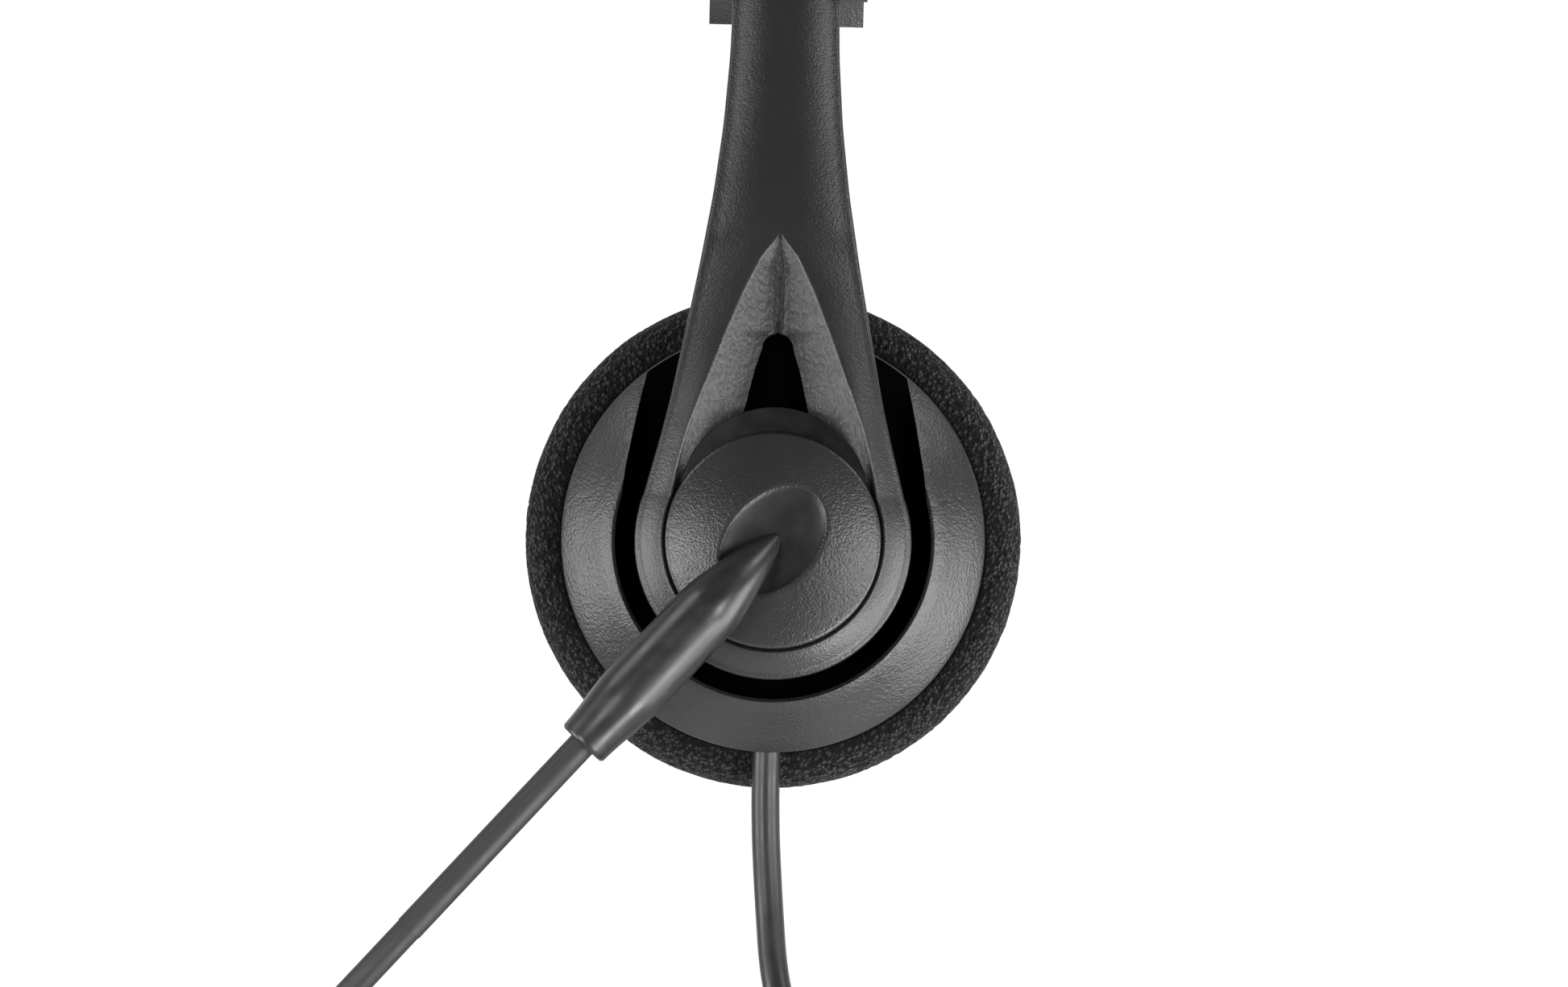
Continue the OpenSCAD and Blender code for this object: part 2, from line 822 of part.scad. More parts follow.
module boom_tube() {
    color("#1e1f21") at_left() {
        along_boom() {
            translate([tube_start, 0, boom_h]) rotate([0, 90, 0])
                cylinder(d = tube_d, h = tube_straight - tube_start);
            translate([tube_straight, 0, boom_h - tube_bend_r]) rotate([90, 0, 0])
                rotate([0, 0, 90 - tube_bend])
                rotate_extrude(angle = tube_bend, $fn = 180) translate([tube_bend_r, 0])
                    circle(d = tube_d - 2 * bend_step);
        }
        boom_tip() rotate([0, 90, 0]) cylinder(d = tube_d, h = tip_len);
    }
}

// ---- Microphone, on the boom's tip ----

module mic_boot() {
    color("#151516") at_left() boom_tip() difference() {
        rotate([0, 90, 0]) {
            cylinder(r1 = tube_d / 2 + 0.5, r2 = 3.4, h = mic_start);
            translate([0, 0, mic_start]) cylinder(r = 2.9, h = 1.4);
        }
        translate([-1, 0, 0]) rotate([0, 90, 0]) cylinder(d = tube_d, h = mic_start + 4);
    }
}

// One half of the microphone housing, on the side that sign gives
module mic_half(sign) {
    difference() {
        translate([mic_start, 0, 0]) mirror([0, 0, sign < 0 ? 1 : 0]) {
            stadium(mic_len, mic_w, 0.02, mic_t / 2 - 0.8);
            translate([0.8, 0, 0]) stadium(mic_len - 1.6, mic_w - 1.6, 1, mic_t / 2);
        }
        translate([mic_start + mic_wall, 0, 0])
            stadium(mic_len - 2 * mic_wall, mic_w - 2 * mic_wall,
                    -mic_t / 2 + mic_wall, mic_t / 2 - mic_wall);
        translate([mic_start - 1, 0, 0]) rotate([0, 90, 0]) cylinder(r = 2.95, h = 4);
    }
}

module mic_front() {
    color("#232427") at_left() boom_tip() difference() {
        mic_half(-1);
        for (i = [-2:2]) translate([capsule_x + 1.6 * i - 0.45, -3.2, -mic_t]) cube([0.9, 6.4, mic_t]);
    }
}

module mic_back() {
    color("#232427") at_left() boom_tip() mic_half(1);
}

module mic_element() {
    color("#a8a9ad") at_left() boom_tip() translate([capsule_x, 0, -2.9]) cylinder(d = capsule_d, h = 5);
}

module mic_seal() {
    color("#101011") at_left() boom_tip() translate([capsule_x, 0, -1.5]) difference() {
        cylinder(d = capsule_d + 1, h = 2.4);
        translate([0, 0, -1]) cylinder(d = capsule_d, h = 5);
    }
}

// ---- Cable ----

module cable_grommet() {
    color("#18181a") at_left() translate([0, -shell_r + 0.4, cable_h]) rotate([-90, 0, 0]) difference() {
        cylinder(r = 2.95, h = 2.4);
        translate([0, 0, -1]) cylinder(r = cable_d / 2 + 0.1, h = 5);
    }
}

// Bar that grips the cable inside the cup
module cable_clamp() {
    color("#303134") at_left() difference() {
        bar(9, -25.6, -21.6, skirt_base + 0.3, skirt_base + 6.8);
        translate([0, -20, cable_h]) rotate([90, 0, 0]) cylinder(r = cable_d / 2 + 0.1, h = 8);
    }
}

module cable_lead() {
    color("#1c1c1e") swept(lead_path, cable_d);
}

// Outline of the hank: two loops drawn together at the waist by the tie
module hank_outline() {
    for (z = [-1, 1]) translate([0, z * hank_run / 2]) circle(r = hank_end_r);
    shoulder = [hank_end_r - 1, hank_run / 2 + 2];
    polygon([-shoulder, [-hank_waist, -tie_w / 2], [-hank_waist, tie_w / 2], [-shoulder[0], shoulder[1]],
             shoulder, [hank_waist, tie_w / 2], [hank_waist, -tie_w / 2], [shoulder[0], -shoulder[1]]]);
}

module cable_hank() {
    depth = hank_layers * cable_d;
    color("#1c1c1e") at_left() translate([hank_x, hank_z, hank_front - depth])
        linear_extrude(depth) hank_outline();
}

module cable_tie() {
    depth = hank_layers * cable_d;
    color("#101011") at_left() translate([hank_x, hank_z, hank_front - depth / 2]) difference() {
        cube([2 * (hank_waist + tie_t + slip), tie_w - 1, depth + 2 * (tie_t + slip)], center = true);
        cube([2 * (hank_waist + slip), tie_w, depth + 2 * slip], center = true);
    }
}

module cable_tail() {
    color("#1c1c1e") swept(tail_path, cable_d);
}

// ---- Plug, hanging with its tip down ----

module at_plug(z) {
    translate([plug_x, plug_y, plug_top - z]) mirror([0, 0, 1]) children();
}

module plug_body() {
    color("#1a1a1c") difference() {
        union() {
            at_plug(0) cylinder(r1 = 2.7, r2 = 3.4, h = relief_len);
            at_plug(relief_len) cylinder(d = plug_body_d, h = plug_body_len - 1);
            at_plug(relief_len + plug_body_len - 1) cylinder(r1 = plug_body_d / 2, r2 = 3.4, h = 1);
        }
        at_plug(-1) cylinder(d = cable_d + 0.2, h = 8);
        at_plug(relief_len + plug_body_len - 4) cylinder(r = 1, h = 5);
    }
}

// Lengths of the plug's sleeve, two rings and tip, with an insulator between each pair
contact_z = [0.05, 6.3, 9.1, 11.9];
contact_len = [5.6, 2.1, 2.1, 2.1];

module plug_contacts() {
    start = relief_len + plug_body_len;
    color("#c8a24a") {
        for (i = [0:2]) at_plug(start + contact_z[i]) difference() {
            cylinder(d = contact_d, h = contact_len[i]);
            translate([0, 0, -1]) cylinder(r = 1, h = 8);
        }
        at_plug(start + contact_z[3]) {
            cylinder(r1 = 1.2, r2 = contact_d / 2, h = 1);
            translate([0, 0, 1]) cylinder(r1 = contact_d / 2, r2 = 0.5, h = contact_len[3] - 1);
        }
    }
}

module plug_insulators() {
    start = relief_len + plug_body_len;
    color("#0d0d0e") {
        for (i = [0:2]) {
            top = contact_z[i] + contact_len[i];
            at_plug(start + top) cylinder(d = contact_d - 0.05, h = contact_z[i + 1] - top);
        }
        at_plug(start - 3.9) cylinder(r = 0.98, h = 3.9 + contact_z[3]);
    }
}

headband_cover();
headband_liner();
headband_spring();
headband_pad();
crossover_wire();
left_end_housing();
left_end_cover();
left_detent_spring();
right_end_housing();
right_end_cover();
right_detent_spring();
housing_screws();
left_yoke();
left_bearing_plate();
right_yoke();
right_bearing_plate();
right_pivot_cap();
left_swivel_cross();
right_swivel_cross();
left_shell();
left_baffle();
left_acoustic_cloth();
left_driver_frame();
left_magnet();
left_voice_coil();
left_diaphragm();
left_damper();
left_cup_screws();
left_foam_pad();
right_shell();
right_baffle();
right_acoustic_cloth();
right_driver_frame();
right_magnet();
right_voice_coil();
right_diaphragm();
right_damper();
right_cup_screws();
right_foam_pad();
boom_hub();
boom_washer();
boom_clip();
boom_holder();
boom_tube();
mic_boot();
mic_front();
mic_back();
mic_element();
mic_seal();
cable_grommet();
cable_clamp();
cable_lead();
cable_hank();
cable_tie();
cable_tail();
plug_body();
plug_contacts();
plug_insulators();
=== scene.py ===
import json
import math

import bmesh
import bpy
import numpy as np
from mathutils import Matrix, Vector, noise

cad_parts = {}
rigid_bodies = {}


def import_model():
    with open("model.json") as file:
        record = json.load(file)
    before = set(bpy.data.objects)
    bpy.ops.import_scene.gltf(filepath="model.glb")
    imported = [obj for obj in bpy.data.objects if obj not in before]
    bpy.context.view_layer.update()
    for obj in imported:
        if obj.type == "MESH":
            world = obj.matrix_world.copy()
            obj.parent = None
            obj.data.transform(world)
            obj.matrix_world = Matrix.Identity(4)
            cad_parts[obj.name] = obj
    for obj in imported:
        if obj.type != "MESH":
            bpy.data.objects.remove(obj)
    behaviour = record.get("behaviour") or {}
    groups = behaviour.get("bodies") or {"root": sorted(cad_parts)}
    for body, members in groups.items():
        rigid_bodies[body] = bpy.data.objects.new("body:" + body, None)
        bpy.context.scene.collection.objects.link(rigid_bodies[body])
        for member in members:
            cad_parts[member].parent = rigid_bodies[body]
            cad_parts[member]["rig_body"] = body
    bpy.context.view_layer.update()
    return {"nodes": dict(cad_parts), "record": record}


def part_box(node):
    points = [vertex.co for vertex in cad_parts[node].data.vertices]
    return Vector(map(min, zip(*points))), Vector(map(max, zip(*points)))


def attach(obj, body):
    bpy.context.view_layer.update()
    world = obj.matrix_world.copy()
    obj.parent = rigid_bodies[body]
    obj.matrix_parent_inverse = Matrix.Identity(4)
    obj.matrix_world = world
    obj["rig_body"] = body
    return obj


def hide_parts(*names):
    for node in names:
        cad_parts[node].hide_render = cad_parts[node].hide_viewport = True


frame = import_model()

MM = 0.001

# ---- Sizes shared with the CAD model, in millimetres, in the cup frame (x, y up, h outwards) ----

PAD_FACE = -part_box("left_foam_pad")[1][1] / MM
FOAM_R = (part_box("left_foam_pad")[1][0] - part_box("left_foam_pad")[0][0]) / 2 / MM
FOAM_BACK = -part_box("left_foam_pad")[0][1] / MM
ARM_T = 3.7
ARM_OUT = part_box("right_pivot_cap")[1][1] / MM - 2.7
ARM_IN = ARM_OUT - ARM_T
BEND_Z, BEND_R, LEAN = 12.0, 85.0, 27.0
BEND_CENTRE_H = ARM_IN + ARM_T / 2 - BEND_R
ARM_TOP = 50.4
RING_R = 19.65
HUB_R = 15.3
HUB_EDGE = ARM_OUT + 0.4
HUB_RISE = 2.3
BOOM_ANGLE = 48.2
BOOM_H = ARM_OUT + 0.5 + 4.75
POCKET = 2.2
LEFT, RIGHT = -1, 1

# ---- Camera: square on to the left cup, with the headset's slight lean in the frame ----

CAMERA_ROLL = math.radians(1.4)
CAMERA_AT = (1.39 * MM, -2.692, 6.72 * MM)
VIEW_WIDTH = 0.2221
CAMERA_TO_RIM = 2.6
SENSOR = 36.0


def make_camera():
    data = bpy.data.cameras.new("camera")
    data.sensor_width = SENSOR
    data.lens = SENSOR * CAMERA_TO_RIM / VIEW_WIDTH
    data.clip_start = 0.1
    camera = bpy.data.objects.new("camera", data)
    bpy.context.scene.collection.objects.link(camera)
    c, s = math.cos(CAMERA_ROLL), math.sin(CAMERA_ROLL)
    turn = Matrix(((c, -s, 0), (0, 0, -1), (s, c, 0)))
    camera.matrix_world = Matrix.Translation(CAMERA_AT) @ turn.to_4x4()
    bpy.context.scene.camera = camera


make_camera()


# ---- Materials ----

class Nodes:
    """Small helper that builds one procedural material."""

    def __init__(self, name, roughness=0.5, metallic=0.0, specular=0.5):
        self.material = bpy.data.materials.new(name)
        self.material.use_nodes = True
        self.tree = self.material.node_tree
        self.shader = self.tree.nodes["Principled BSDF"]
        self.shader.inputs["Roughness"].default_value = roughness
        self.shader.inputs["Metallic"].default_value = metallic
        self.shader.inputs["Specular IOR Level"].default_value = specular
        self.place = self.add("ShaderNodeTexCoord").outputs["Object"]

    def add(self, kind, **values):
        made = self.tree.nodes.new(kind)
        for key, value in values.items():
            setattr(made, key, value)
        return made

    def link(self, a, b):
        self.tree.links.new(a, b)

    def stretched(self, scale):
        mapping = self.add("ShaderNodeMapping")
        mapping.inputs["Scale"].default_value = scale
        self.link(self.place, mapping.inputs["Vector"])
        return mapping.outputs["Vector"]

    def noise(self, size, detail=3.0, roughness=0.5, place=None):
        """Noise whose blobs are about size metres across."""
        made = self.add("ShaderNodeTexNoise")
        made.inputs["Scale"].default_value = 1 / size
        made.inputs["Detail"].default_value = detail
        made.inputs["Roughness"].default_value = roughness
        self.link(place or self.place, made.inputs["Vector"])
        return made.outputs["Fac"]

    def cells(self, size, feature="F1", place=None):
        made = self.add("ShaderNodeTexVoronoi", feature=feature)
        made.inputs["Scale"].default_value = 1 / size
        self.link(place or self.place, made.inputs["Vector"])
        return made.outputs["Distance"]

    def ramp(self, factor, low, high, at=(0.3, 0.7)):
        made = self.add("ShaderNodeMapRange")
        made.inputs["From Min"].default_value = at[0]
        made.inputs["From Max"].default_value = at[1]
        made.inputs["To Min"].default_value = low
        made.inputs["To Max"].default_value = high
        self.link(factor, made.inputs["Value"])
        return made.outputs["Result"]

    def colour(self, factor, dark, light, at=(0.3, 0.7)):
        made = self.add("ShaderNodeValToRGB")
        made.color_ramp.elements[0].position = at[0]
        made.color_ramp.elements[1].position = at[1]
        made.color_ramp.elements[0].color = (*dark, 1)
        made.color_ramp.elements[1].color = (*light, 1)
        self.link(factor, made.inputs["Fac"])
        self.link(made.outputs["Color"], self.shader.inputs["Base Color"])

    def rough(self, factor, low, high, at=(0.3, 0.7)):
        self.link(self.ramp(factor, low, high, at), self.shader.inputs["Roughness"])

    def bump(self, layers):
        """Stacks bumps, each (height, depth in metres, strength)."""
        last = None
        for height, distance, strength in layers:
            made = self.add("ShaderNodeBump")
            made.inputs["Distance"].default_value = distance
            made.inputs["Strength"].default_value = strength
            self.link(height, made.inputs["Height"])
            if last:
                self.link(last, made.inputs["Normal"])
            last = made.outputs["Normal"]
        self.link(last, self.shader.inputs["Normal"])


def moulded(name, dark, light, grain=0.0004, depth=0.00012, rough=(0.29, 0.35), specular=0.5):
    """Spark-textured moulded plastic: fine pebbles, faint cloudiness and shinier rubbed patches."""
    m = Nodes(name, specular=specular)
    pebble = m.noise(grain, 2.0, 0.55)
    cloud = m.noise(0.012, 3.0)
    m.colour(cloud, dark, light)
    m.rough(m.noise(0.009, 4.0), *rough)
    m.bump([(pebble, depth, 0.8), (m.noise(grain * 3.2, 2.0), depth * 0.8, 0.5)])
    return m.material


def leathery(name):
    """Coarser wrinkled texture, as inside the yoke's opening, in a tone lighter than the arm's that is
    painted light from the side panels.
    """
    m = Nodes(name, specular=0.5)
    grain = m.noise(0.0005, 2.0, 0.6, m.stretched((1.0, 1.0, 0.55)))
    # Lighter than the arm plastic: painted light standing in for the side panels' light on the sloping facets
    m.colour(m.noise(0.004, 3.0), (0.016, 0.0162, 0.0167), (0.022, 0.0222, 0.0227))
    m.rough(grain, 0.34, 0.55)
    m.bump([(grain, 0.00016, 1.0), (m.cells(0.0007), 0.00005, 0.6)])
    return m.material


def satin(name, colour, roughness, mottle=0.0005, specular=0.5):
    """Smoother moulded plastic with flow marks too faint to see except in gloss."""
    m = Nodes(name, specular=specular)
    flow = m.noise(0.006, 4.0, 0.6, m.stretched((1.0, 1.0, 0.35)))
    m.colour(flow, tuple(c * 0.85 for c in colour), tuple(c * 1.15 for c in colour))
    m.rough(m.noise(0.003, 4.0), roughness - 0.06, roughness + 0.07)
    m.bump([(m.noise(mottle, 2.0), 0.00001, 0.6)])
    return m.material


def foam_material():
    """Open-cell foam: dark pores between lighter struts, the pores' near-black being painted shade down in
    the holes.
    """
    m = Nodes("foam", roughness=0.95, specular=0.15)
    pores = m.cells(0.00062)
    # Near-black where the bump is low is painted shade in the pores; the lighter grey is the foam's own tone
    m.colour(pores, (0.04, 0.04, 0.041), (0.001, 0.001, 0.001), (0.1, 0.45))
    m.shader.inputs["Sheen Weight"].default_value = 0.08
    m.shader.inputs["Sheen Roughness"].default_value = 0.6
    m.bump([(m.ramp(pores, 1.0, 0.0, (0.1, 0.6)), 0.0005, 1.0), (m.noise(0.00018, 3.0), 0.0001, 0.8)])
    return m.material


def leatherette():
    m = Nodes("leatherette", specular=0.45)
    grain = m.cells(0.0011, "SMOOTH_F1")
    m.colour(m.noise(0.01, 3.0), (0.014, 0.014, 0.015), (0.024, 0.024, 0.026))
    m.rough(m.noise(0.004, 3.0), 0.42, 0.58)
    m.bump([(grain, 0.0002, 0.7), (m.noise(0.00035, 2.0), 0.00006, 0.5)])
    return m.material


def felt():
    m = Nodes("felt", roughness=1.0, specular=0.1)
    fibre = m.noise(0.0003, 5.0, 0.7, m.stretched((1.0, 2.2, 1.0)))
    m.colour(fibre, (0.008, 0.008, 0.008), (0.03, 0.03, 0.031))
    m.shader.inputs["Sheen Weight"].default_value = 0.4
    m.bump([(fibre, 0.0002, 0.9)])
    return m.material


def jacket(name, colour, roughness):
    """Extruded cable jacket: fine lengthwise draw marks and dusty patches."""
    m = Nodes(name, specular=0.5)
    marks = m.noise(0.0007, 3.0, 0.5, m.stretched((1.0, 1.0, 0.12)))
    m.colour(m.noise(0.007, 4.0), tuple(c * 0.8 for c in colour), tuple(c * 1.25 for c in colour))
    m.rough(m.noise(0.004, 4.0), roughness - 0.06, roughness + 0.08)
    m.bump([(marks, 0.00002, 0.5), (m.noise(0.0002, 2.0), 0.000008, 0.5)])
    return m.material


def metal(name, dark, light, roughness, brush=(6.0, 1.0, 1.0)):
    m = Nodes(name, metallic=1.0)
    lines = m.noise(0.0006, 4.0, 0.6, m.stretched(brush))
    m.colour(lines, dark, light)
    m.rough(lines, roughness - 0.08, roughness + 0.1)
    m.bump([(lines, 0.000006, 0.5)])
    return m.material


def hook_strap():
    """Woven strap with a napped face."""
    m = Nodes("hook_strap", roughness=0.95, specular=0.12)
    wave = m.add("ShaderNodeTexWave", wave_type="BANDS", bands_direction="Z")
    wave.inputs["Scale"].default_value = 520.0
    wave.inputs["Distortion"].default_value = 2.0
    m.link(m.place, wave.inputs["Vector"])
    nap = m.noise(0.00025, 4.0, 0.7)
    m.colour(nap, (0.006, 0.006, 0.007), (0.03, 0.03, 0.033))
    m.shader.inputs["Sheen Weight"].default_value = 0.5
    m.bump([(wave.outputs["Fac"], 0.0001, 0.6), (nap, 0.00012, 0.8)])
    return m.material


def film():
    m = Nodes("film", roughness=0.25, specular=0.6)
    m.colour(m.noise(0.003, 2.0), (0.5, 0.45, 0.34), (0.6, 0.55, 0.43))
    m.bump([(m.noise(0.0012, 2.0), 0.00002, 0.5)])
    return m.material


SHELL_PLASTIC = moulded("shell_plastic", (0.0105, 0.0107, 0.0112), (0.0145, 0.0147, 0.0152))
ARM_PLASTIC = moulded("arm_plastic", (0.0105, 0.0107, 0.0112), (0.0135, 0.0137, 0.0142),
                      0.00032, 0.00007, (0.3, 0.35))
HUB_PLASTIC = moulded("hub_plastic", (0.0105, 0.0107, 0.0112), (0.014, 0.0142, 0.0147),
                      0.00035, 0.00008, (0.27, 0.32))
FACET_PLASTIC_PAINTED_LIGHT = leathery("facet_plastic_painted_light")
HOLDER_PLASTIC = satin("holder_plastic", (0.0105, 0.0107, 0.0112), 0.33)
DARK_PLASTIC = satin("dark_plastic", (0.004, 0.004, 0.0042), 0.36, specular=0.25)
# Near-black plastic with no specular for the shell's recess: painted shade where the recess lies in shadow
RECESS_PAINTED_SHADE = satin("recess_painted_shade", (0.0012, 0.0012, 0.0013), 0.9, specular=0.0)
# Smoother plastic for the hub's scoop; its tone darker than the hub's and its lower specular are painted
# shade in the hollow
SCOOP_PLASTIC_PAINTED_SHADE = satin("scoop_plastic_painted_shade", (0.008, 0.008, 0.0084), 0.34, specular=0.3)
SOFT_RUBBER = jacket("soft_rubber", (0.009, 0.009, 0.0094), 0.52)
CABLE_JACKET = jacket("cable_jacket", (0.01, 0.01, 0.0105), 0.4)
FOAM = foam_material()
LEATHERETTE = leatherette()
FELT = felt()
STRAP = hook_strap()
STEEL = metal("steel", (0.42, 0.42, 0.43), (0.62, 0.62, 0.63), 0.3)
MAGNET = metal("magnet_plate", (0.45, 0.45, 0.47), (0.6, 0.6, 0.62), 0.22, (1.0, 1.0, 1.0))
COPPER = metal("copper_wire", (0.5, 0.22, 0.1), (0.72, 0.36, 0.18), 0.3, (1.0, 14.0, 1.0))
GOLD = metal("gold_plate", (0.66, 0.46, 0.18), (0.8, 0.6, 0.28), 0.2)
FILM = film()

BY_SLOT = {"black_plastic": SHELL_PLASTIC, "dark_plastic": DARK_PLASTIC, "foam": FOAM,
           "pad_leather": LEATHERETTE, "felt": FELT, "soft_rubber": SOFT_RUBBER,
           "cable_jacket": CABLE_JACKET, "steel": STEEL,
           "magnet_metal": MAGNET, "copper": COPPER, "film": FILM, "gold_contact": GOLD, "tie_fabric": STRAP}
SLOT_OF = {part["node"]: part["material_slot"] for part in frame["record"]["subparts"]}


# ---- Mesh helpers ----

def add_piece(name, mesh, body, nodes, materials):
    """Links a mesh as a piece on a body, standing for CAD nodes."""
    piece = bpy.data.objects.new(name, mesh)
    bpy.context.scene.collection.objects.link(piece)
    for material in materials:
        mesh.materials.append(material)
    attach(piece, body)
    if nodes:
        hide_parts(*nodes)
    return piece


def to_world(side, points):
    """Cup-frame millimetres (x, y, h) to metres in the row frame."""
    p = np.asarray(points, float)
    return np.stack([p[..., 0], side * p[..., 2], p[..., 1]], -1) * MM


def grid_faces(nu, nv, close_u=False, close_v=False):
    """Quads of a grid of nu rows of nv points."""
    faces = []
    for i in range(nu if close_u else nu - 1):
        for j in range(nv if close_v else nv - 1):
            a, b = i * nv + j, i * nv + (j + 1) % nv
            c, d = ((i + 1) % nu) * nv + (j + 1) % nv, ((i + 1) % nu) * nv + j
            faces.append((a, b, c, d))
    return faces


def mesh_from(name, points, faces, merge=0.000004, face_materials=None, sharp=None):
    """Mesh with doubles merged, faces turned outwards and smooth shading."""
    mesh = bpy.data.meshes.new(name)
    bm = bmesh.new()
    verts = [bm.verts.new(p) for p in np.asarray(points).reshape(-1, 3)]
    for number, face in enumerate(faces):
        made = bm.faces.new([verts[i] for i in face])
        made.smooth = True
        if face_materials is not None:
            made.material_index = face_materials[number]
    bmesh.ops.remove_doubles(bm, verts=bm.verts, dist=merge)
    bmesh.ops.dissolve_degenerate(bm, edges=bm.edges, dist=merge / 4)
    bmesh.ops.recalc_face_normals(bm, faces=bm.faces)
    if sharp:
        for edge in bm.edges:
            if len(edge.link_faces) == 2 and edge.calc_face_angle(0) > math.radians(sharp):
                edge.smooth = False
    bm.to_mesh(mesh)
    bm.free()
    return mesh


def refined(node, material, bevel, segments=3, second=None, where=None, clean=0.8):
    """A copy of a CAD node's shape as a new piece, with its flats cleaned and its edges rounded.

    Faces for which where(face) is true get the second material.
    """
    bm = bmesh.new()
    bm.from_mesh(frame["nodes"][node].data)
    bmesh.ops.remove_doubles(bm, verts=bm.verts, dist=0.000002)
    bmesh.ops.dissolve_limit(bm, angle_limit=math.radians(clean), verts=bm.verts, edges=bm.edges)
    bm.normal_update()
    for face in bm.faces:
        face.smooth = True
        face.material_index = 1 if where and where(face) else 0
    mesh = bpy.data.meshes.new(node + "_piece")
    bm.to_mesh(mesh)
    bm.free()
    materials = [material, second] if second else [material]
    body = frame["nodes"][node]["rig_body"]
    piece = add_piece(node + "_piece", mesh, body, [node], materials)
    edges = piece.modifiers.new("edges", "BEVEL")
    edges.width = bevel * MM
    edges.segments = segments
    edges.limit_method = "ANGLE"
    edges.angle_limit = math.radians(28)
    edges.use_clamp_overlap = True
    edges.harden_normals = True
    return piece


# ---- Cable: lead from the cup, hank held by its tie, tail and plug ----

CABLE_D = 4.0
HANK_X, HANK_Z, HANK_RUN = 1.0, -118.0, 66.0
HANK_H = 90.0
TRACKS = (12.0, 16.0)
WAIST_PULL = 9.85
# How far below the top of the hank the lead joins its first run
LEAD_JOINS = 18
# Route of the lead from the clamp in the cup, and of the tail down to the plug, in millimetres
LEAD_PATH = [(-0.2, -88, -22), (-0.2, -88, -30), (-0.2, -88, -36), (0, -88.2, -42), (0.4, -88.6, -48),
             (0.9, -89.4, -54), (1.5, -91, -60), (2.8, -92.8, -66), (5.2, -94, -72), (8.4, -94.2, -78),
             (11.2, -93.6, -84), (12.4, -92.6, -90), (10.4, -91.2, -97)]
TAIL_PATH = [(17, -90, -156), (16.4, -90, -164), (15.4, -90, -172), (14.6, -90, -180), (14.2, -90, -186)]
# Layer and track of each run down the right of the hank
HANK_RUNS = [(0, 0), (1, 0), (2, 0), (3, 0), (3, 1), (2, 1), (1, 1), (0, 1)]


def waist(z):
    """How much the tie draws the runs in at height z, from 0 to 1."""
    return math.cos(math.pi * (z - HANK_Z) / HANK_RUN) ** 2


def eased(t):
    return t * t * (3 - 2 * t)


def hank_run(side, z, layer, radius):
    return (HANK_X + side * (radius - WAIST_PULL * waist(z)), -(HANK_H - CABLE_D * layer), z)


def hank_points(step=2.0):
    """Turns of the hank, from the lead's run to the tail's."""
    top, bottom = HANK_Z + HANK_RUN / 2, HANK_Z - HANK_RUN / 2
    points = []
    for k, (layer, track) in enumerate(HANK_RUNS):
        first = top - LEAD_JOINS if k == 0 else top
        for z in np.arange(first, bottom, -step):
            points.append(hank_run(1, z, layer, TRACKS[track]))
        if k == len(HANK_RUNS) - 1:
            break
        after_layer, after_track = HANK_RUNS[k + 1]
        r = TRACKS[track]
        depth = -(HANK_H - CABLE_D * layer)
        for a in np.linspace(0, 180, 20)[:-1]:
            a = math.radians(a)
            points.append((HANK_X + r * math.cos(a), depth, bottom - r * math.sin(a)))
        for z in np.arange(bottom, top, step):
            w = eased((z - bottom) / HANK_RUN)
            now = layer + (after_layer - layer) * w
            if track != after_track:
                now += 0.3 * waist(z)
            points.append(hank_run(-1, z, now, r + (TRACKS[after_track] - r) * w))
        r = TRACKS[after_track]
        depth = -(HANK_H - CABLE_D * after_layer)
        for a in np.linspace(180, 0, 20)[:-1]:
            a = math.radians(a)
            points.append((HANK_X + r * math.cos(a), depth, top + r * math.sin(a)))
    return points


def smooth_path(points, step=1.6, passes=3):
    """Points set evenly along a path and lightly smoothed."""
    p = np.array(points, float)
    for _ in range(passes):
        p[1:-1] = 0.25 * p[:-2] + 0.5 * p[1:-1] + 0.25 * p[2:]
    along = np.concatenate([[0], np.cumsum(np.linalg.norm(np.diff(p, axis=0), axis=1))])
    even = np.linspace(0, along[-1], int(along[-1] / step))
    return np.stack([np.interp(even, along, p[:, i]) for i in range(3)], 1)


def catmull(points, per=6):
    """Smooth curve through a few given points."""
    p = [np.array(q, float) for q in points]
    p = [2 * p[0] - p[1]] + p + [2 * p[-1] - p[-2]]
    made = []
    for i in range(1, len(p) - 2):
        for t in np.linspace(0, 1, per, endpoint=False):
            made.append(0.5 * (2 * p[i] + (p[i + 1] - p[i - 1]) * t
                               + (2 * p[i - 1] - 5 * p[i] + 4 * p[i + 1] - p[i + 2]) * t * t
                               + (3 * p[i] - p[i - 1] - 3 * p[i + 1] + p[i + 2]) * t ** 3))
    return made + [p[-2]]


def make_cable():
    route = smooth_path(catmull(LEAD_PATH) + hank_points()[1:] + catmull(TAIL_PATH))
    data = bpy.data.curves.new("cable", "CURVE")
    data.dimensions = "3D"
    data.bevel_depth = CABLE_D / 2 * MM
    data.bevel_resolution = 5
    data.use_fill_caps = True
    spline = data.splines.new("POLY")
    spline.points.add(len(route) - 1)
    spline.points.foreach_set("co", np.c_[route * MM, np.ones(len(route))].ravel())
    spline.use_smooth = True
    cable = bpy.data.objects.new("cable", data)
    bpy.context.scene.collection.objects.link(cable)
    data.materials.append(CABLE_JACKET)
    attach(cable, "left_cup")
    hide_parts("cable_lead", "cable_hank", "cable_tail")
    return cable


def rounded_loop(hx, hy, r, n=10):
    """Points of a rectangle with round corners."""
    made = []
    for cx, cy, start in ((1, 1, 0), (-1, 1, 90), (-1, -1, 180), (1, -1, 270)):
        for a in np.linspace(start, start + 90, n):
            a = math.radians(a)
            made.append((cx * (hx - r) + r * math.cos(a), cy * (hy - r) + r * math.sin(a)))
    return made


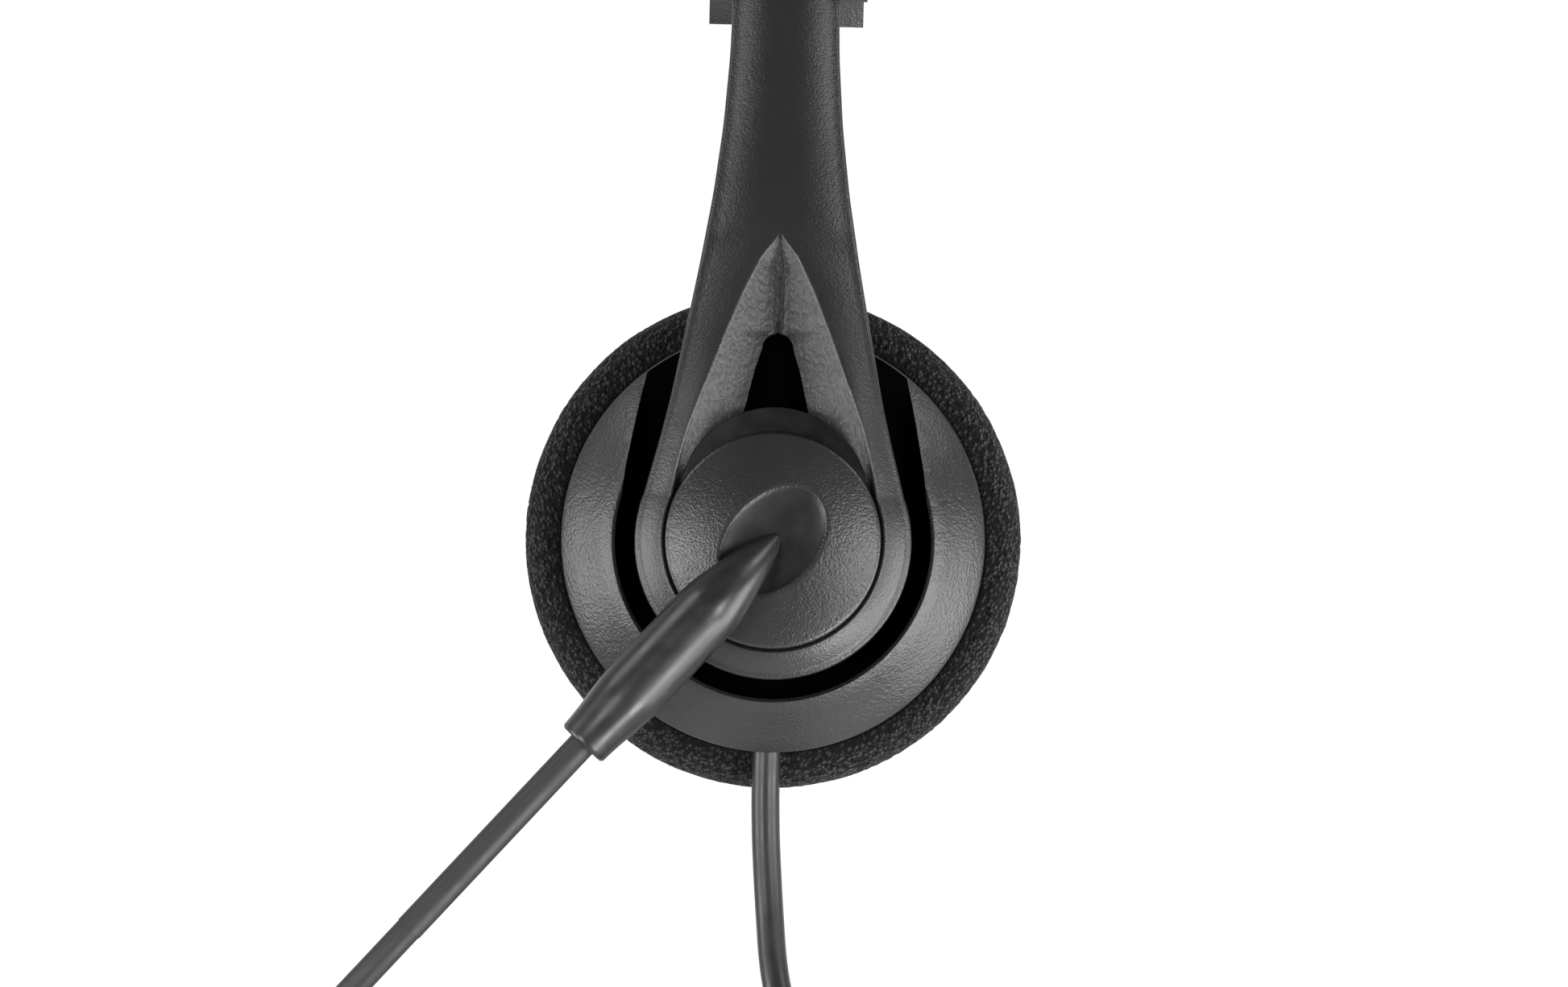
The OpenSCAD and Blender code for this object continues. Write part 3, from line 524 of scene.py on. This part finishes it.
def make_tie():
    """Hook-and-loop strap round the hank's waist, with its free end lapped over."""
    depth_mid = HANK_H - 1.5 * CABLE_D
    loops = []
    half, hold_x, hold_y, lap_rows = 6.4, 8.4, 8.2, 24
    section = [(0.1, -half), (0.1, half), (0.5, half + 0.15), (1.2, half), (1.3, half - 0.4),
               (1.3, 0.4 - half), (1.2, -half), (0.5, -half - 0.15)]
    for out, z in section:
        ring = rounded_loop(hold_x + out, hold_y + out, 4.5)
        loops.append([(HANK_X + x, -(depth_mid + y), HANK_Z + z) for x, y in ring])
    loop_faces = grid_faces(len(loops), len(loops[0]), True, True)
    ring_mesh = mesh_from("tie", np.array(loops) * MM, loop_faces, sharp=50)
    tie = add_piece("tie", ring_mesh, "left_cup", ["cable_tie"], [STRAP])
    lap = []
    for t in np.linspace(-7.0, 7.2, lap_rows):
        lift = 0.25 + 0.5 * max(0.0, (t - 5.0) / 2.2) ** 2
        h = depth_mid + hold_y + 1.3 + lift
        row = [(t, -half + 0.3, 0), (t, half - 0.3, 0), (t, half - 0.1, 0.5), (t, half - 0.3, 1.0),
               (t, -half + 0.3, 1.0), (t, -half + 0.1, 0.5)]
        lap.append([(HANK_X + x, -(h - 0.3 + d), HANK_Z + z) for x, z, d in row])
    count = len(lap[0])
    faces = grid_faces(lap_rows, count, False, True)
    faces += [tuple(reversed(range(count))), tuple(range((lap_rows - 1) * count, lap_rows * count))]
    lap_mesh = mesh_from("tie_end", np.array(lap) * MM, faces, sharp=50)
    flap = add_piece("tie_end", lap_mesh, "left_cup", [], [STRAP])
    return tie, flap


cable = make_cable()
tie, tie_end = make_tie()
plug = refined("plug_body", SOFT_RUBBER, 0.5, 4)


# ---- Yokes ----

# How far the arm's face falls from its middle to its sides, and the ring's from its inner to its outer edge
CROWN, RING_DROP = 1.9, 1.8
# Slope of the facets inside the opening, as a share of their width
FACET_LEAN = 0.8
# Radii at the ring's foot, where it leaves the legs, and the pocket's radius further round
FOOT_OUTER_R, FOOT_INNER_R, POCKET_R = 19.54, 15.72, 15.52
# Points of a section that belong to the facet, and heights where the arm ends and the hole's foot lies
FACE_POINTS, ARM_ROWS_END, HOLE_FOOT = 9, 44.6, 17
# Half widths at heights above the hub, in millimetres: the arm, and its A-shaped opening
ARM_SIDE = [(3, 19.3), (8, 18), (14, 16.4), (20, 15), (30, 13.1), (40, 11.3), (50, 9.7),
            (60, 8.5), (70, 7.8), (78, 7.6), (120, 7.6)]
OPENING_SIDE = [(6.3, 14.4), (10, 13.8), (16, 12.2), (22, 10), (29, 7.4), (35, 5), (40, 2.6), (43.3, 0.02)]
HOLE_SIDE = [(17, 4.9), (24.5, 3.2), (27.8, 2.2)]
HOLE_TOP, HOLE_R = 27.8, 2.2
APEX, OPENING_FOOT = 43.3, 6.3
CRESCENT_R, CRESCENT_Z = 13.4, 5.5
POCKET_D = ARM_T / 2 - POCKET


def between(table, z, soften=1.6):
    """Value from a table at height z, softened over a few millimetres."""
    heights, values = zip(*table)
    spread = [soften * k for k in (-1, -0.6, -0.3, 0, 0.3, 0.6, 1)]
    return float(np.mean([np.interp(z + s, heights, values) for s in spread]))


def arm_place(x, t, d):
    """Point of the bent arm: x across, t along its middle line, d outwards from that line."""
    turned = min(max((t - BEND_Z) / BEND_R, 0.0), math.radians(LEAN))
    beyond = max(t - BEND_Z - BEND_R * math.radians(LEAN), 0.0)
    below = min(t - BEND_Z, 0.0)
    h = BEND_CENTRE_H + (BEND_R + d) * math.cos(turned) - beyond * math.sin(turned)
    z = BEND_Z + (BEND_R + d) * math.sin(turned) + beyond * math.cos(turned) + below
    return x, z, h


def hole_half(z):
    """Half width, at height z, of what the facets slope down to: the hole or the crescent's edge."""
    if z >= HOLE_TOP + HOLE_R:
        return 0.0
    if z > HOLE_TOP:
        return math.sqrt(HOLE_R ** 2 - (z - HOLE_TOP) ** 2)
    hole = between(HOLE_SIDE, z, 0.3) if z > HOLE_FOOT else 0.0
    lift = CRESCENT_R ** 2 - (z - CRESCENT_Z) ** 2
    return max(hole, math.sqrt(lift) if lift > 0 else 0.0)


def yoke_section(z, outer, inner, hole, kind, shape=0.0):
    """Right half of the arm's section as (x, d) points, from the back of the hole round to the back again."""
    def front(x):
        if kind == "arm":
            return ARM_T / 2 - CROWN * (x / outer) ** 2
        share = max(x - inner, 0.0) / (outer - inner)
        level = ARM_T / 2 - CROWN * (inner / outer) ** 2 * shape
        fall = RING_DROP * (1 - shape) + CROWN * (1 - (inner / outer) ** 2) * shape
        return level - fall * share ** (1.2 + 0.3 * shape)

    def slope(k):
        return reach * lean * ((1 - k) - 0.46 * (1 - k) ** 2)

    back = -ARM_T / 2
    if kind == "arm":
        face = [(0, front(0))] * FACE_POINTS
    elif kind == "ring":
        face = [(hole, POCKET_D)] * 3 + [(hole + (inner - hole) * k / 3, POCKET_D) for k in (1, 2, 3)]
        face += [(inner, POCKET_D), (inner, POCKET_D + 0.3), (inner, front(inner) - 0.5)]
    else:
        # Hollow facet, with two rounded ridges and a groove where the facets meet above the hole
        end = front(inner) - 0.5
        end = POCKET_D + 0.2 + (end - POCKET_D - 0.2) * eased(min(max((z - OPENING_FOOT) / 5.0, 0.0), 1.0))
        reach = max(inner - 0.3 - hole, 0.02)
        fit = min(1.0, reach / 3.2)
        fade = min(1.0, hole / 0.9)
        lean = FACET_LEAN * min(1.0, (end - POCKET_D) / 1.0)
        face = []
        for x, bump in ((0, -0.35), (0.42, -0.12), (0.8, 0.3), (1.25, 0.1), (1.7, 0)):
            k = x * fit / reach
            face.append((hole + x * fit, end - slope(k) + bump * fit * (1 - fade)))
        start = face[-1][0]
        for k in (0.28, 0.55, 0.8, 1.0):
            x = start + (inner - 0.3 - start) * k
            k = (x - hole) / reach
            face.append((x, end - slope(k)))
    low_edge = 0.12 if kind != "arm" else 0.0
    strip = [(inner - low_edge, front(inner) - (0.4 if kind != "arm" else 0)),
             (inner + low_edge * 0.3, front(inner) - low_edge)]
    strip += [(inner + 0.28 + (outer - 0.75 - inner - 0.28) * k / 8, front(inner + (outer - inner) * k / 8))
              for k in range(9)]
    rounded = ((0.42, 0.04), (0.2, 0.16), (0.05, 0.36), (0, 0.62))
    strip += [(outer - x, front(outer) - d) for x, d in rounded]
    strip += [(outer, back + 0.5), (outer - 0.1, back + 0.2), (outer - 0.35, back + 0.03),
              (outer - 0.8, back)]
    middle = 0.5 * (hole + outer)
    return face + strip + [(middle, back), (hole + 0.01 * (kind != "arm"), back)]


def yoke_rows():
    """Sections down the arm, its legs and round the ring, as rows of (x, y, h) points."""
    def height(t):
        return arm_place(0, t, ARM_T / 2)[1]

    rows = []
    end_t = BEND_Z + BEND_R * math.radians(LEAN) + ARM_TOP
    for t in np.linspace(end_t, ARM_ROWS_END, 60):
        section = yoke_section(0, between(ARM_SIDE, height(t)), 0.0, 0.0, "arm")
        rows.append([arm_place(x, t, d) for x, d in section])
    stops = np.concatenate([np.linspace(APEX - 0.05, 30.35, 34),
                            HOLE_TOP + HOLE_R * np.cos(np.linspace(0.2, 1.45, 8)),
                            np.linspace(27.6, 19.4, 20), np.linspace(19.1, 16.4, 14),
                            np.linspace(15.9, OPENING_FOOT, 20)])
    samples = np.linspace(0, 60, 2401)
    heights = [height(t) for t in samples]
    for z in stops:
        t = float(np.interp(z, heights, samples))
        inner = between(OPENING_SIDE, z, 0.5)
        hole = min(hole_half(z), inner - 0.35)
        section = yoke_section(z, between(ARM_SIDE, z), inner, max(hole, 0.0), "leg",
                               eased(min(max((z - 14) / 22, 0.0), 1.0)))
        rows.append([arm_place(x, t, d) for x, d in section])
    outer_start = math.atan2(OPENING_FOOT, between(ARM_SIDE, OPENING_FOOT))
    inner_start = math.atan2(OPENING_FOOT, OPENING_SIDE[0][1])
    for k in np.linspace(0.02, 1, 64):
        inner_angle = inner_start + (-math.pi / 2 - inner_start) * k
        outer_angle = outer_start + (-math.pi / 2 - outer_start) * k
        blend = min(1.0, k * 3.2)
        outer = FOOT_OUTER_R + (RING_R - FOOT_OUTER_R) * blend
        inner = FOOT_INNER_R + (POCKET_R - FOOT_INNER_R) * blend
        section = yoke_section(0, outer, inner, inner - 1.1, "ring")
        row = []
        for x, d in section:
            share = min(max((x - inner) / (outer - inner), 0.0), 1.0)
            a = inner_angle + (outer_angle - inner_angle) * share
            row.append((x * math.cos(a), x * math.sin(a), ARM_IN + ARM_T / 2 + d))
        rows.append(row)
    return rows


def make_yoke(side, name, body, node):
    """Arm, legs and ring as one lofted skin, made of two mirrored halves."""
    rows = np.array(yoke_rows())
    count = rows.shape[1]
    points, faces, kinds = [], [], []
    for mirror in (1, -1):
        offset = len(points) * rows.shape[0] * count
        half = rows * np.array([mirror, 1, 1])
        points.append(to_world(side, half))
        for i in range(rows.shape[0] - 1):
            for j in range(count):
                k = (j + 1) % count
                corners = rows[i, j], rows[i, k], rows[i + 1, k], rows[i + 1, j]
                if max(abs(c[0]) for c in corners) < 0.02:
                    continue
                a, b = i * count + j, i * count + k
                c, d = (i + 1) * count + k, (i + 1) * count + j
                faces.append([offset + v for v in (a, b, c, d)])
                # Facet faces take the lighter facet material with its painted light
                kinds.append(1 if j < FACE_POINTS and rows[i, 3, 1] > OPENING_FOOT - 0.5 else 0)
        faces.append([offset + j for j in range(count)])
        kinds.append(0)
    mesh = mesh_from(name, np.array(points), faces, 0.00001, kinds, 42)
    return add_piece(name, mesh, body, [node], [ARM_PLASTIC, FACET_PLASTIC_PAINTED_LIGHT])


def revolved(side, profile, segments=128):
    """Points and faces of a closed section of (radius, depth) points turned about the cup's axis."""
    angles = np.linspace(0, 2 * math.pi, segments, endpoint=False)
    points = [[(r * math.cos(a), r * math.sin(a), h) for r, h in profile] for a in angles]
    return to_world(side, points), grid_faces(segments, len(profile), True, True)


def make_yoke_back(side, name, body):
    """Web behind the hub, with the two ears that hold the swivel cross."""
    points, faces = revolved(side, [(5.05, ARM_IN + 0.15), (5.05, ARM_OUT - POCKET), (15.0, ARM_OUT - POCKET),
                                    (15.0, ARM_IN + 0.15), (14.4, ARM_IN), (5.3, ARM_IN)])
    points = [tuple(p) for p in points.reshape(-1, 3)]
    pivot = ARM_IN - 4.1
    for x0 in (-10.2, 7.8):
        start = len(points)
        arc = [(3.0 * math.cos(a), pivot - 3.0 * math.sin(a)) for a in np.linspace(0, math.pi, 16)]
        outline = [(3.0, ARM_IN + 0.1)] + arc + [(-3.0, ARM_IN + 0.1)]
        for x in (x0, x0 + 2.4):
            points += [tuple(p) for p in to_world(side, [(x, y, h) for y, h in outline])]
        n = len(outline)
        faces += [(start + i, start + (i + 1) % n, start + n + (i + 1) % n, start + n + i) for i in range(n)]
        faces += [tuple(range(start, start + n)), tuple(range(start + 2 * n - 1, start + n - 1, -1))]
    mesh = mesh_from(name, points, faces, sharp=40)
    return add_piece(name, mesh, body, [], [DARK_PLASTIC])


# ---- Hub, cap and boom holder ----

SCOOP = (8.8, 6.2)
SCOOP_DEPTH = 1.2
BOOM_DIR = math.radians(180 + BOOM_ANGLE)


def make_dome(side, name, body, node, scooped):
    """Domed disc with a rounded edge; the boom's hub has an oval scoop along the boom."""
    dome_r = (HUB_R ** 2 + HUB_RISE ** 2) / (2 * HUB_RISE)
    top = HUB_EDGE + HUB_RISE

    def dome(r):
        return top - dome_r + math.sqrt(dome_r ** 2 - r * r)

    segments, scoop_rows = 256, 22
    web, shaft_r, rounding = ARM_OUT - POCKET, 4.0, 0.55
    points = []
    for a in np.linspace(0, 2 * math.pi, segments, endpoint=False):
        u, v = math.cos(a - BOOM_DIR), math.sin(a - BOOM_DIR)
        rim = 1 / math.sqrt((u / SCOOP[0]) ** 2 + (v / SCOOP[1]) ** 2)
        row = []
        for k in np.linspace(0, 1, scoop_rows) ** 0.8:
            r = rim * k * 0.985
            dip = SCOOP_DEPTH * (1 - k * k) ** 0.8 if scooped else 0.0
            row.append((r, dome(r) - dip - (0.1 if scooped else 0)))
        row.append((rim, dome(rim) - (0.05 if scooped else 0)))
        row.append((rim * 1.02, dome(rim * 1.02)))
        for k in np.linspace(0.08, 1, 16):
            r = rim * 1.02 + (HUB_R - rounding - rim * 1.02) * k
            row.append((r, dome(r)))
        edge = dome(HUB_R - rounding)
        row += [(HUB_R - 0.28, edge - 0.1), (HUB_R - 0.08, edge - 0.3), (HUB_R, edge - 0.6),
                (HUB_R, web + 1.3), (HUB_R - 0.3, web + 1.26), (shaft_r + 0.2, web + 1.26),
                (shaft_r, web + 1.0), (shaft_r, ARM_IN - 1.6), (0.0, ARM_IN - 1.6)]
        points.append([(r * math.cos(a), r * math.sin(a), h) for r, h in row])
    count = len(points[0])
    faces = grid_faces(segments, count, True, False)
    # Faces in the scoop take the darker scoop material, painted shade in the hollow
    kinds = [1 if scooped and i % (count - 1) < scoop_rows - 1 else 0 for i in range(len(faces))]
    mesh = mesh_from(name, to_world(side, points), faces, 0.000004, kinds, 50)
    return add_piece(name, mesh, body, [node], [HUB_PLASTIC, SCOOP_PLASTIC_PAINTED_SHADE])


HOLDER_R = 4.71
NOSE_AT = -1.1
# Half widths of the holder at distances from the hub centre, in millimetres
HOLDER_SIDE = [(-1.1, 0.5), (0.5, 1.5), (5, 3), (11.5, 4.5), (14, 4.7), (30, 4.7), (36, 3.95), (39, 3.75)]


def make_holder():
    """Sleeve with a nose that rises out of the hub's scoop, lofted along the boom."""
    stations = list(np.linspace(NOSE_AT, 0.4, 7)) + list(np.linspace(0.8, 38.9, 90))
    nose_top = HUB_EDGE + 1.2
    # Where the sleeve's foot on the hub starts to narrow, and where it has gone
    foot_from, foot_to = 14, 18
    rings = []
    for s in stations:
        half = between(HOLDER_SIDE, s, 0.5 + 1.3 * min(max(s / 8, 0.0), 1.0))
        rise = min(max((s - NOSE_AT) / 14.5, 0.0), 1.0)
        climb = (BOOM_H + HOLDER_R - nose_top) * (1 - (1 - rise) ** 2)
        top = nose_top + climb - (HOLDER_R - half) * rise ** 2
        middle = top - half
        bottom = min(middle - half, HUB_EDGE) if s < foot_from else middle - half
        if foot_from <= s < foot_to:
            left = 1 - eased((s - foot_from) / (foot_to - foot_from))
            bottom += (min(bottom, HUB_EDGE) - bottom) * left
        ring = []
        for a in np.linspace(0, 2 * math.pi, 64, endpoint=False):
            c, d = math.cos(a), math.sin(a)
            ring.append((half * c, middle + d * (half if d > 0 else middle - bottom)))
        rings.append((s, ring))
    end = rings[-1][1]
    for s, shrink in ((39.15, 0.955), (39.3, 0.9), (39.3, 0.6), (38.6, 0.555), (30.0, 0.552)):
        rings.append((s, [(w * shrink, BOOM_H + (h - BOOM_H) * shrink) for w, h in end]))
    u, v = (math.cos(BOOM_DIR), math.sin(BOOM_DIR)), (-math.sin(BOOM_DIR), math.cos(BOOM_DIR))
    points = [[(s * u[0] + w * v[0], s * u[1] + w * v[1], h) for w, h in ring] for s, ring in rings]
    count = len(points[0])
    faces = grid_faces(len(points), count, False, True)
    faces += [tuple(range(count)), tuple(range(len(points) * count - 1, (len(points) - 1) * count - 1, -1))]
    mesh = mesh_from("boom_sleeve", to_world(LEFT, points), faces, 0.000002, sharp=45)
    return add_piece("boom_sleeve", mesh, "boom", ["boom_holder"], [HOLDER_PLASTIC])


# ---- Foam pads ----

def foam_profile():
    """Closed half section of a foam pad as (radius, depth) points, from the middle of its face."""
    corner, back_corner = 4.6, 3.6
    face = [(r, PAD_FACE + 0.25 + 1.3 * math.cos(min(r / 27, 1) * math.pi / 2) ** 2)
            for r in np.linspace(0, 30.6, 104)]
    edge = [(FOAM_R - 0.3 - corner + corner * math.sin(a), PAD_FACE + 0.25 + corner - corner * math.cos(a))
            for a in np.linspace(0.02, math.pi / 2, 26)]
    back = FOAM_BACK - 0.3
    turn = [(FOAM_R - 0.3 - back_corner + back_corner * math.cos(a),
             back - back_corner + back_corner * math.sin(a)) for a in np.linspace(0, math.pi / 2, 22)]
    side = [(FOAM_R - 0.3, h) for h in np.linspace(edge[-1][1], turn[0][1], 16)[1:-1]]
    inside = [(31.2, back), (30.6, back - 0.05), (30.2, back - 0.35), (30.2, back - 0.9), (31.05, back - 1.0),
              (31.05, FOAM_BACK - 3.25), (0, FOAM_BACK - 3.25)]
    return face + edge + side + turn + inside


def make_foam(side, name, body, node):
    """Foam pad turned about the cup's axis, with pores pressed into its outer skin."""
    profile = foam_profile()
    shown = len(profile) - 6
    segments = 620
    angles = np.linspace(0, 2 * math.pi, segments, endpoint=False)
    normals = []
    for i in range(len(profile)):
        a, b = profile[max(i - 1, 0)], profile[min(i + 1, len(profile) - 1)]
        dr, dh = b[0] - a[0], b[1] - a[1]
        size = math.hypot(dr, dh) or 1
        normals.append((dh / size, -dr / size))
    points = []
    for a in angles:
        c, s = math.cos(a), math.sin(a)
        row = []
        for i, (r, h) in enumerate(profile):
            out_r, out_h = normals[i]
            out = 0.0
            if 0 < i < shown:
                place = Vector((r * c, r * s, h + 40 * side))
                pores = noise.voronoi(place / 0.95)[0][0]
                uneven = 0.09 * noise.noise(place / 5.0) + 0.05 * noise.noise(place / 0.5)
                out = -0.8 * max(0.0, 0.62 - pores) + uneven
                out *= min(1.0, r / 2.0)
            row.append(((r + out_r * out) * c, (r + out_r * out) * s, h + out_h * out))
        points.append(row)
    mesh = mesh_from(name, to_world(side, points), grid_faces(segments, len(profile), True, False), 0.000003)
    pad = add_piece(name, mesh, body, [node], [FOAM])
    return pad


# ---- Headband pad ----

SLOPE_LEN = 64
LEAN_COS, LEAN_SIN = math.cos(math.radians(LEAN)), math.sin(math.radians(LEAN))
ARCH_H = BEND_CENTRE_H + BEND_R * LEAN_COS - SLOPE_LEN * LEAN_SIN
ARCH_R = ARCH_H / LEAN_COS
ARCH_Z = BEND_Z + BEND_R * LEAN_SIN + SLOPE_LEN * LEAN_COS - ARCH_R * LEAN_SIN
TOP_PAD_ANGLE, TOP_PAD_T, TOP_PAD_W = 78, 7.0, 23.0
TOP_PAD_CHANNELS = 5


def make_top_pad():
    """Soft pad under the band: crowned between sewn channels, pulled in at its ends, with a piped seam."""
    across, along = 72, 240
    half_angle = math.radians(TOP_PAD_ANGLE / 2)
    outer = ARCH_R - 3.08
    points = []
    for i in range(along + 1):
        u = i / along * 2 - 1
        end = math.sqrt(max(0.0, 1 - abs(u) ** 14))
        channel = abs(math.sin(math.pi * (i / along) * TOP_PAD_CHANNELS)) ** 0.45
        thick = TOP_PAD_T * (0.3 + 0.7 * channel) * (0.18 + 0.82 * end)
        half_w = TOP_PAD_W / 2 * (0.9 + 0.1 * channel) * (0.8 + 0.2 * end)
        a = u * half_angle
        row = []
        for j in range(across):
            b = 2 * math.pi * j / across
            c, s = math.cos(b), math.sin(b)
            x = half_w * math.copysign(abs(c) ** 0.62, c)
            down = thick * 0.5 * (1 - math.copysign(abs(s) ** (0.35 if s > 0 else 0.8), s))
            wrinkle = 0.12 * noise.noise(Vector((x / 3, u * 30, 1.0))) * (1.4 - channel)
            r = outer - max(down + wrinkle, 0.0)
            row.append((x, r * math.sin(a), ARCH_Z + r * math.cos(a)))
        points.append(row)
    world = np.array(points) * MM
    faces = grid_faces(along + 1, across, False, True)
    faces += [tuple(range(across)), tuple(range((along + 1) * across - 1, along * across - 1, -1))]
    mesh = mesh_from("band_pad", world, faces, 0.000002, sharp=70)
    pad = add_piece("band_pad", mesh, "headband", ["headband_pad"], [LEATHERETTE])
    return pad


make_yoke(LEFT, "left_yoke_arm", "left_arm", "left_yoke")
make_yoke(RIGHT, "right_yoke_arm", "right_arm", "right_yoke")
make_yoke_back(LEFT, "left_yoke_back", "left_arm")
make_yoke_back(RIGHT, "right_yoke_back", "right_arm")
make_dome(LEFT, "boom_hub_disc", "boom", "boom_hub", True)
make_dome(RIGHT, "right_cap_disc", "right_arm", "right_pivot_cap", False)
make_holder()
make_foam(LEFT, "left_foam", "left_cup", "left_foam_pad")
make_foam(RIGHT, "right_foam", "right_cup", "right_foam_pad")
make_top_pad()


def in_painted_shade_recess(face):
    """True for the shell's faces down in the recess round the yoke's ring, which get the near-black painted
    shade.
    """
    below_lip, shell_r, recess_r = 97.9 * MM, 30 * MM, 22.5 * MM
    at = face.calc_center_median()
    away = math.hypot(at.x, at.z)
    flat = abs(face.normal.y) > 0.99
    return abs(at.y) < below_lip and away < shell_r and (flat or away < recess_r)


# The shell's recess faces get the second, near-black material: painted shade in the recess
for part in ("left_shell", "right_shell"):
    refined(part, SHELL_PLASTIC, 0.3, second=RECESS_PAINTED_SHADE, where=in_painted_shade_recess, clean=0.02)
for part in ("left_bearing_plate", "right_bearing_plate"):
    refined(part, DARK_PLASTIC, 0.18)
for part in ("left_end_housing", "right_end_housing", "left_end_cover", "right_end_cover", "headband_cover"):
    refined(part, SHELL_PLASTIC, 1.0, 5)
for part in ("mic_front", "mic_back"):
    refined(part, SHELL_PLASTIC, 0.35, 3)
refined("mic_boot", SOFT_RUBBER, 0.3, 3)
refined("headband_liner", DARK_PLASTIC, 0.4, 3)

for node, part in frame["nodes"].items():
    part.data.materials.clear()
    part.data.materials.append(BY_SLOT[SLOT_OF[node]])


# ---- Studio ----

def plain_material(name, colour, roughness):
    m = Nodes(name, roughness=roughness, specular=0.2)
    m.colour(m.noise(0.5, 2.0), tuple(c * 0.995 for c in colour), colour)
    return m.material


def make_stage():
    """Pale floor well below the hanging headset."""
    floor_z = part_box("plug_contacts")[0][2] - 0.35
    reach = 4.0
    points = [[(x, y, floor_z) for y in np.linspace(-reach, reach, 3)] for x in np.linspace(-reach, reach, 3)]
    mesh = mesh_from("floor", points, grid_faces(3, 3))
    mesh.materials.append(plain_material("floor", (0.82, 0.82, 0.82), 0.9))
    floor = bpy.data.objects.new("floor", mesh)
    bpy.context.scene.collection.objects.link(floor)


def area_light(name, at, aim, size, power):
    data = bpy.data.lights.new(name, "AREA")
    data.shape = "RECTANGLE"
    data.size, data.size_y = size
    data.energy = power
    light = bpy.data.objects.new(name, data)
    light.location = at
    light.rotation_euler = (Vector(aim) - Vector(at)).to_track_quat("-Z", "Y").to_euler()
    light.visible_camera = False
    bpy.context.scene.collection.objects.link(light)
    return light


# Panels round the left cup: degrees off the cup's axis, degrees round it from the right, distance,
# size outwards and size around in metres, brightness
PANELS = [("right_front", 34, -9, 0.70, 0.20, 0.24, 15.0), ("right_side", 76, -20, 0.60, 0.34, 0.50, 8.5),
          ("right_low", 54, -52, 0.60, 0.20, 0.20, 17.0), ("left_front", 34, -167, 0.70, 0.20, 0.22, 17.0),
          ("left_side", 76, -172, 0.60, 0.34, 0.40, 7.5), ("top_right", 73, 42, 0.70, 0.30, 0.24, 6.0),
          ("top_left", 73, 138, 0.70, 0.30, 0.24, 5.0), ("top_fill", 52, 90, 0.80, 0.40, 0.30, 0.2)]


def make_lights():
    middle = Vector((0.0, -0.1, 0.0))
    for name, off, around, away, wide, tall, bright in PANELS:
        t, a = math.radians(off), math.radians(around)
        at = middle + away * Vector((math.sin(t) * math.cos(a), -math.cos(t), math.sin(t) * math.sin(a)))
        area_light(name, at, middle, (wide, tall), bright * math.pi * wide * tall)
    overhead = area_light("overhead", (0.0, 0.1, 1.4), (0.0, 0.1, 0.0), (1.2, 1.2), 6.0)
    overhead.visible_glossy = False
    # White behind the headset, dim in front of it
    world = bpy.data.worlds.new("world")
    world.use_nodes = True
    tree = world.node_tree
    axes = tree.nodes.new("ShaderNodeSeparateXYZ")
    level = tree.nodes.new("ShaderNodeMapRange")
    level.interpolation_type = "SMOOTHSTEP"
    for name, value in (("From Min", -0.15), ("From Max", 0.93), ("To Min", 0.13), ("To Max", 1.04)):
        level.inputs[name].default_value = value
    tree.links.new(tree.nodes.new("ShaderNodeTexCoord").outputs["Generated"], axes.inputs["Vector"])
    tree.links.new(axes.outputs["Y"], level.inputs["Value"])
    tree.nodes["Background"].inputs["Color"].default_value = (1, 1, 1, 1)
    tree.links.new(level.outputs["Result"], tree.nodes["Background"].inputs["Strength"])
    bpy.context.scene.world = world
    bpy.context.scene.view_settings.view_transform = "Standard"


make_stage()
make_lights()
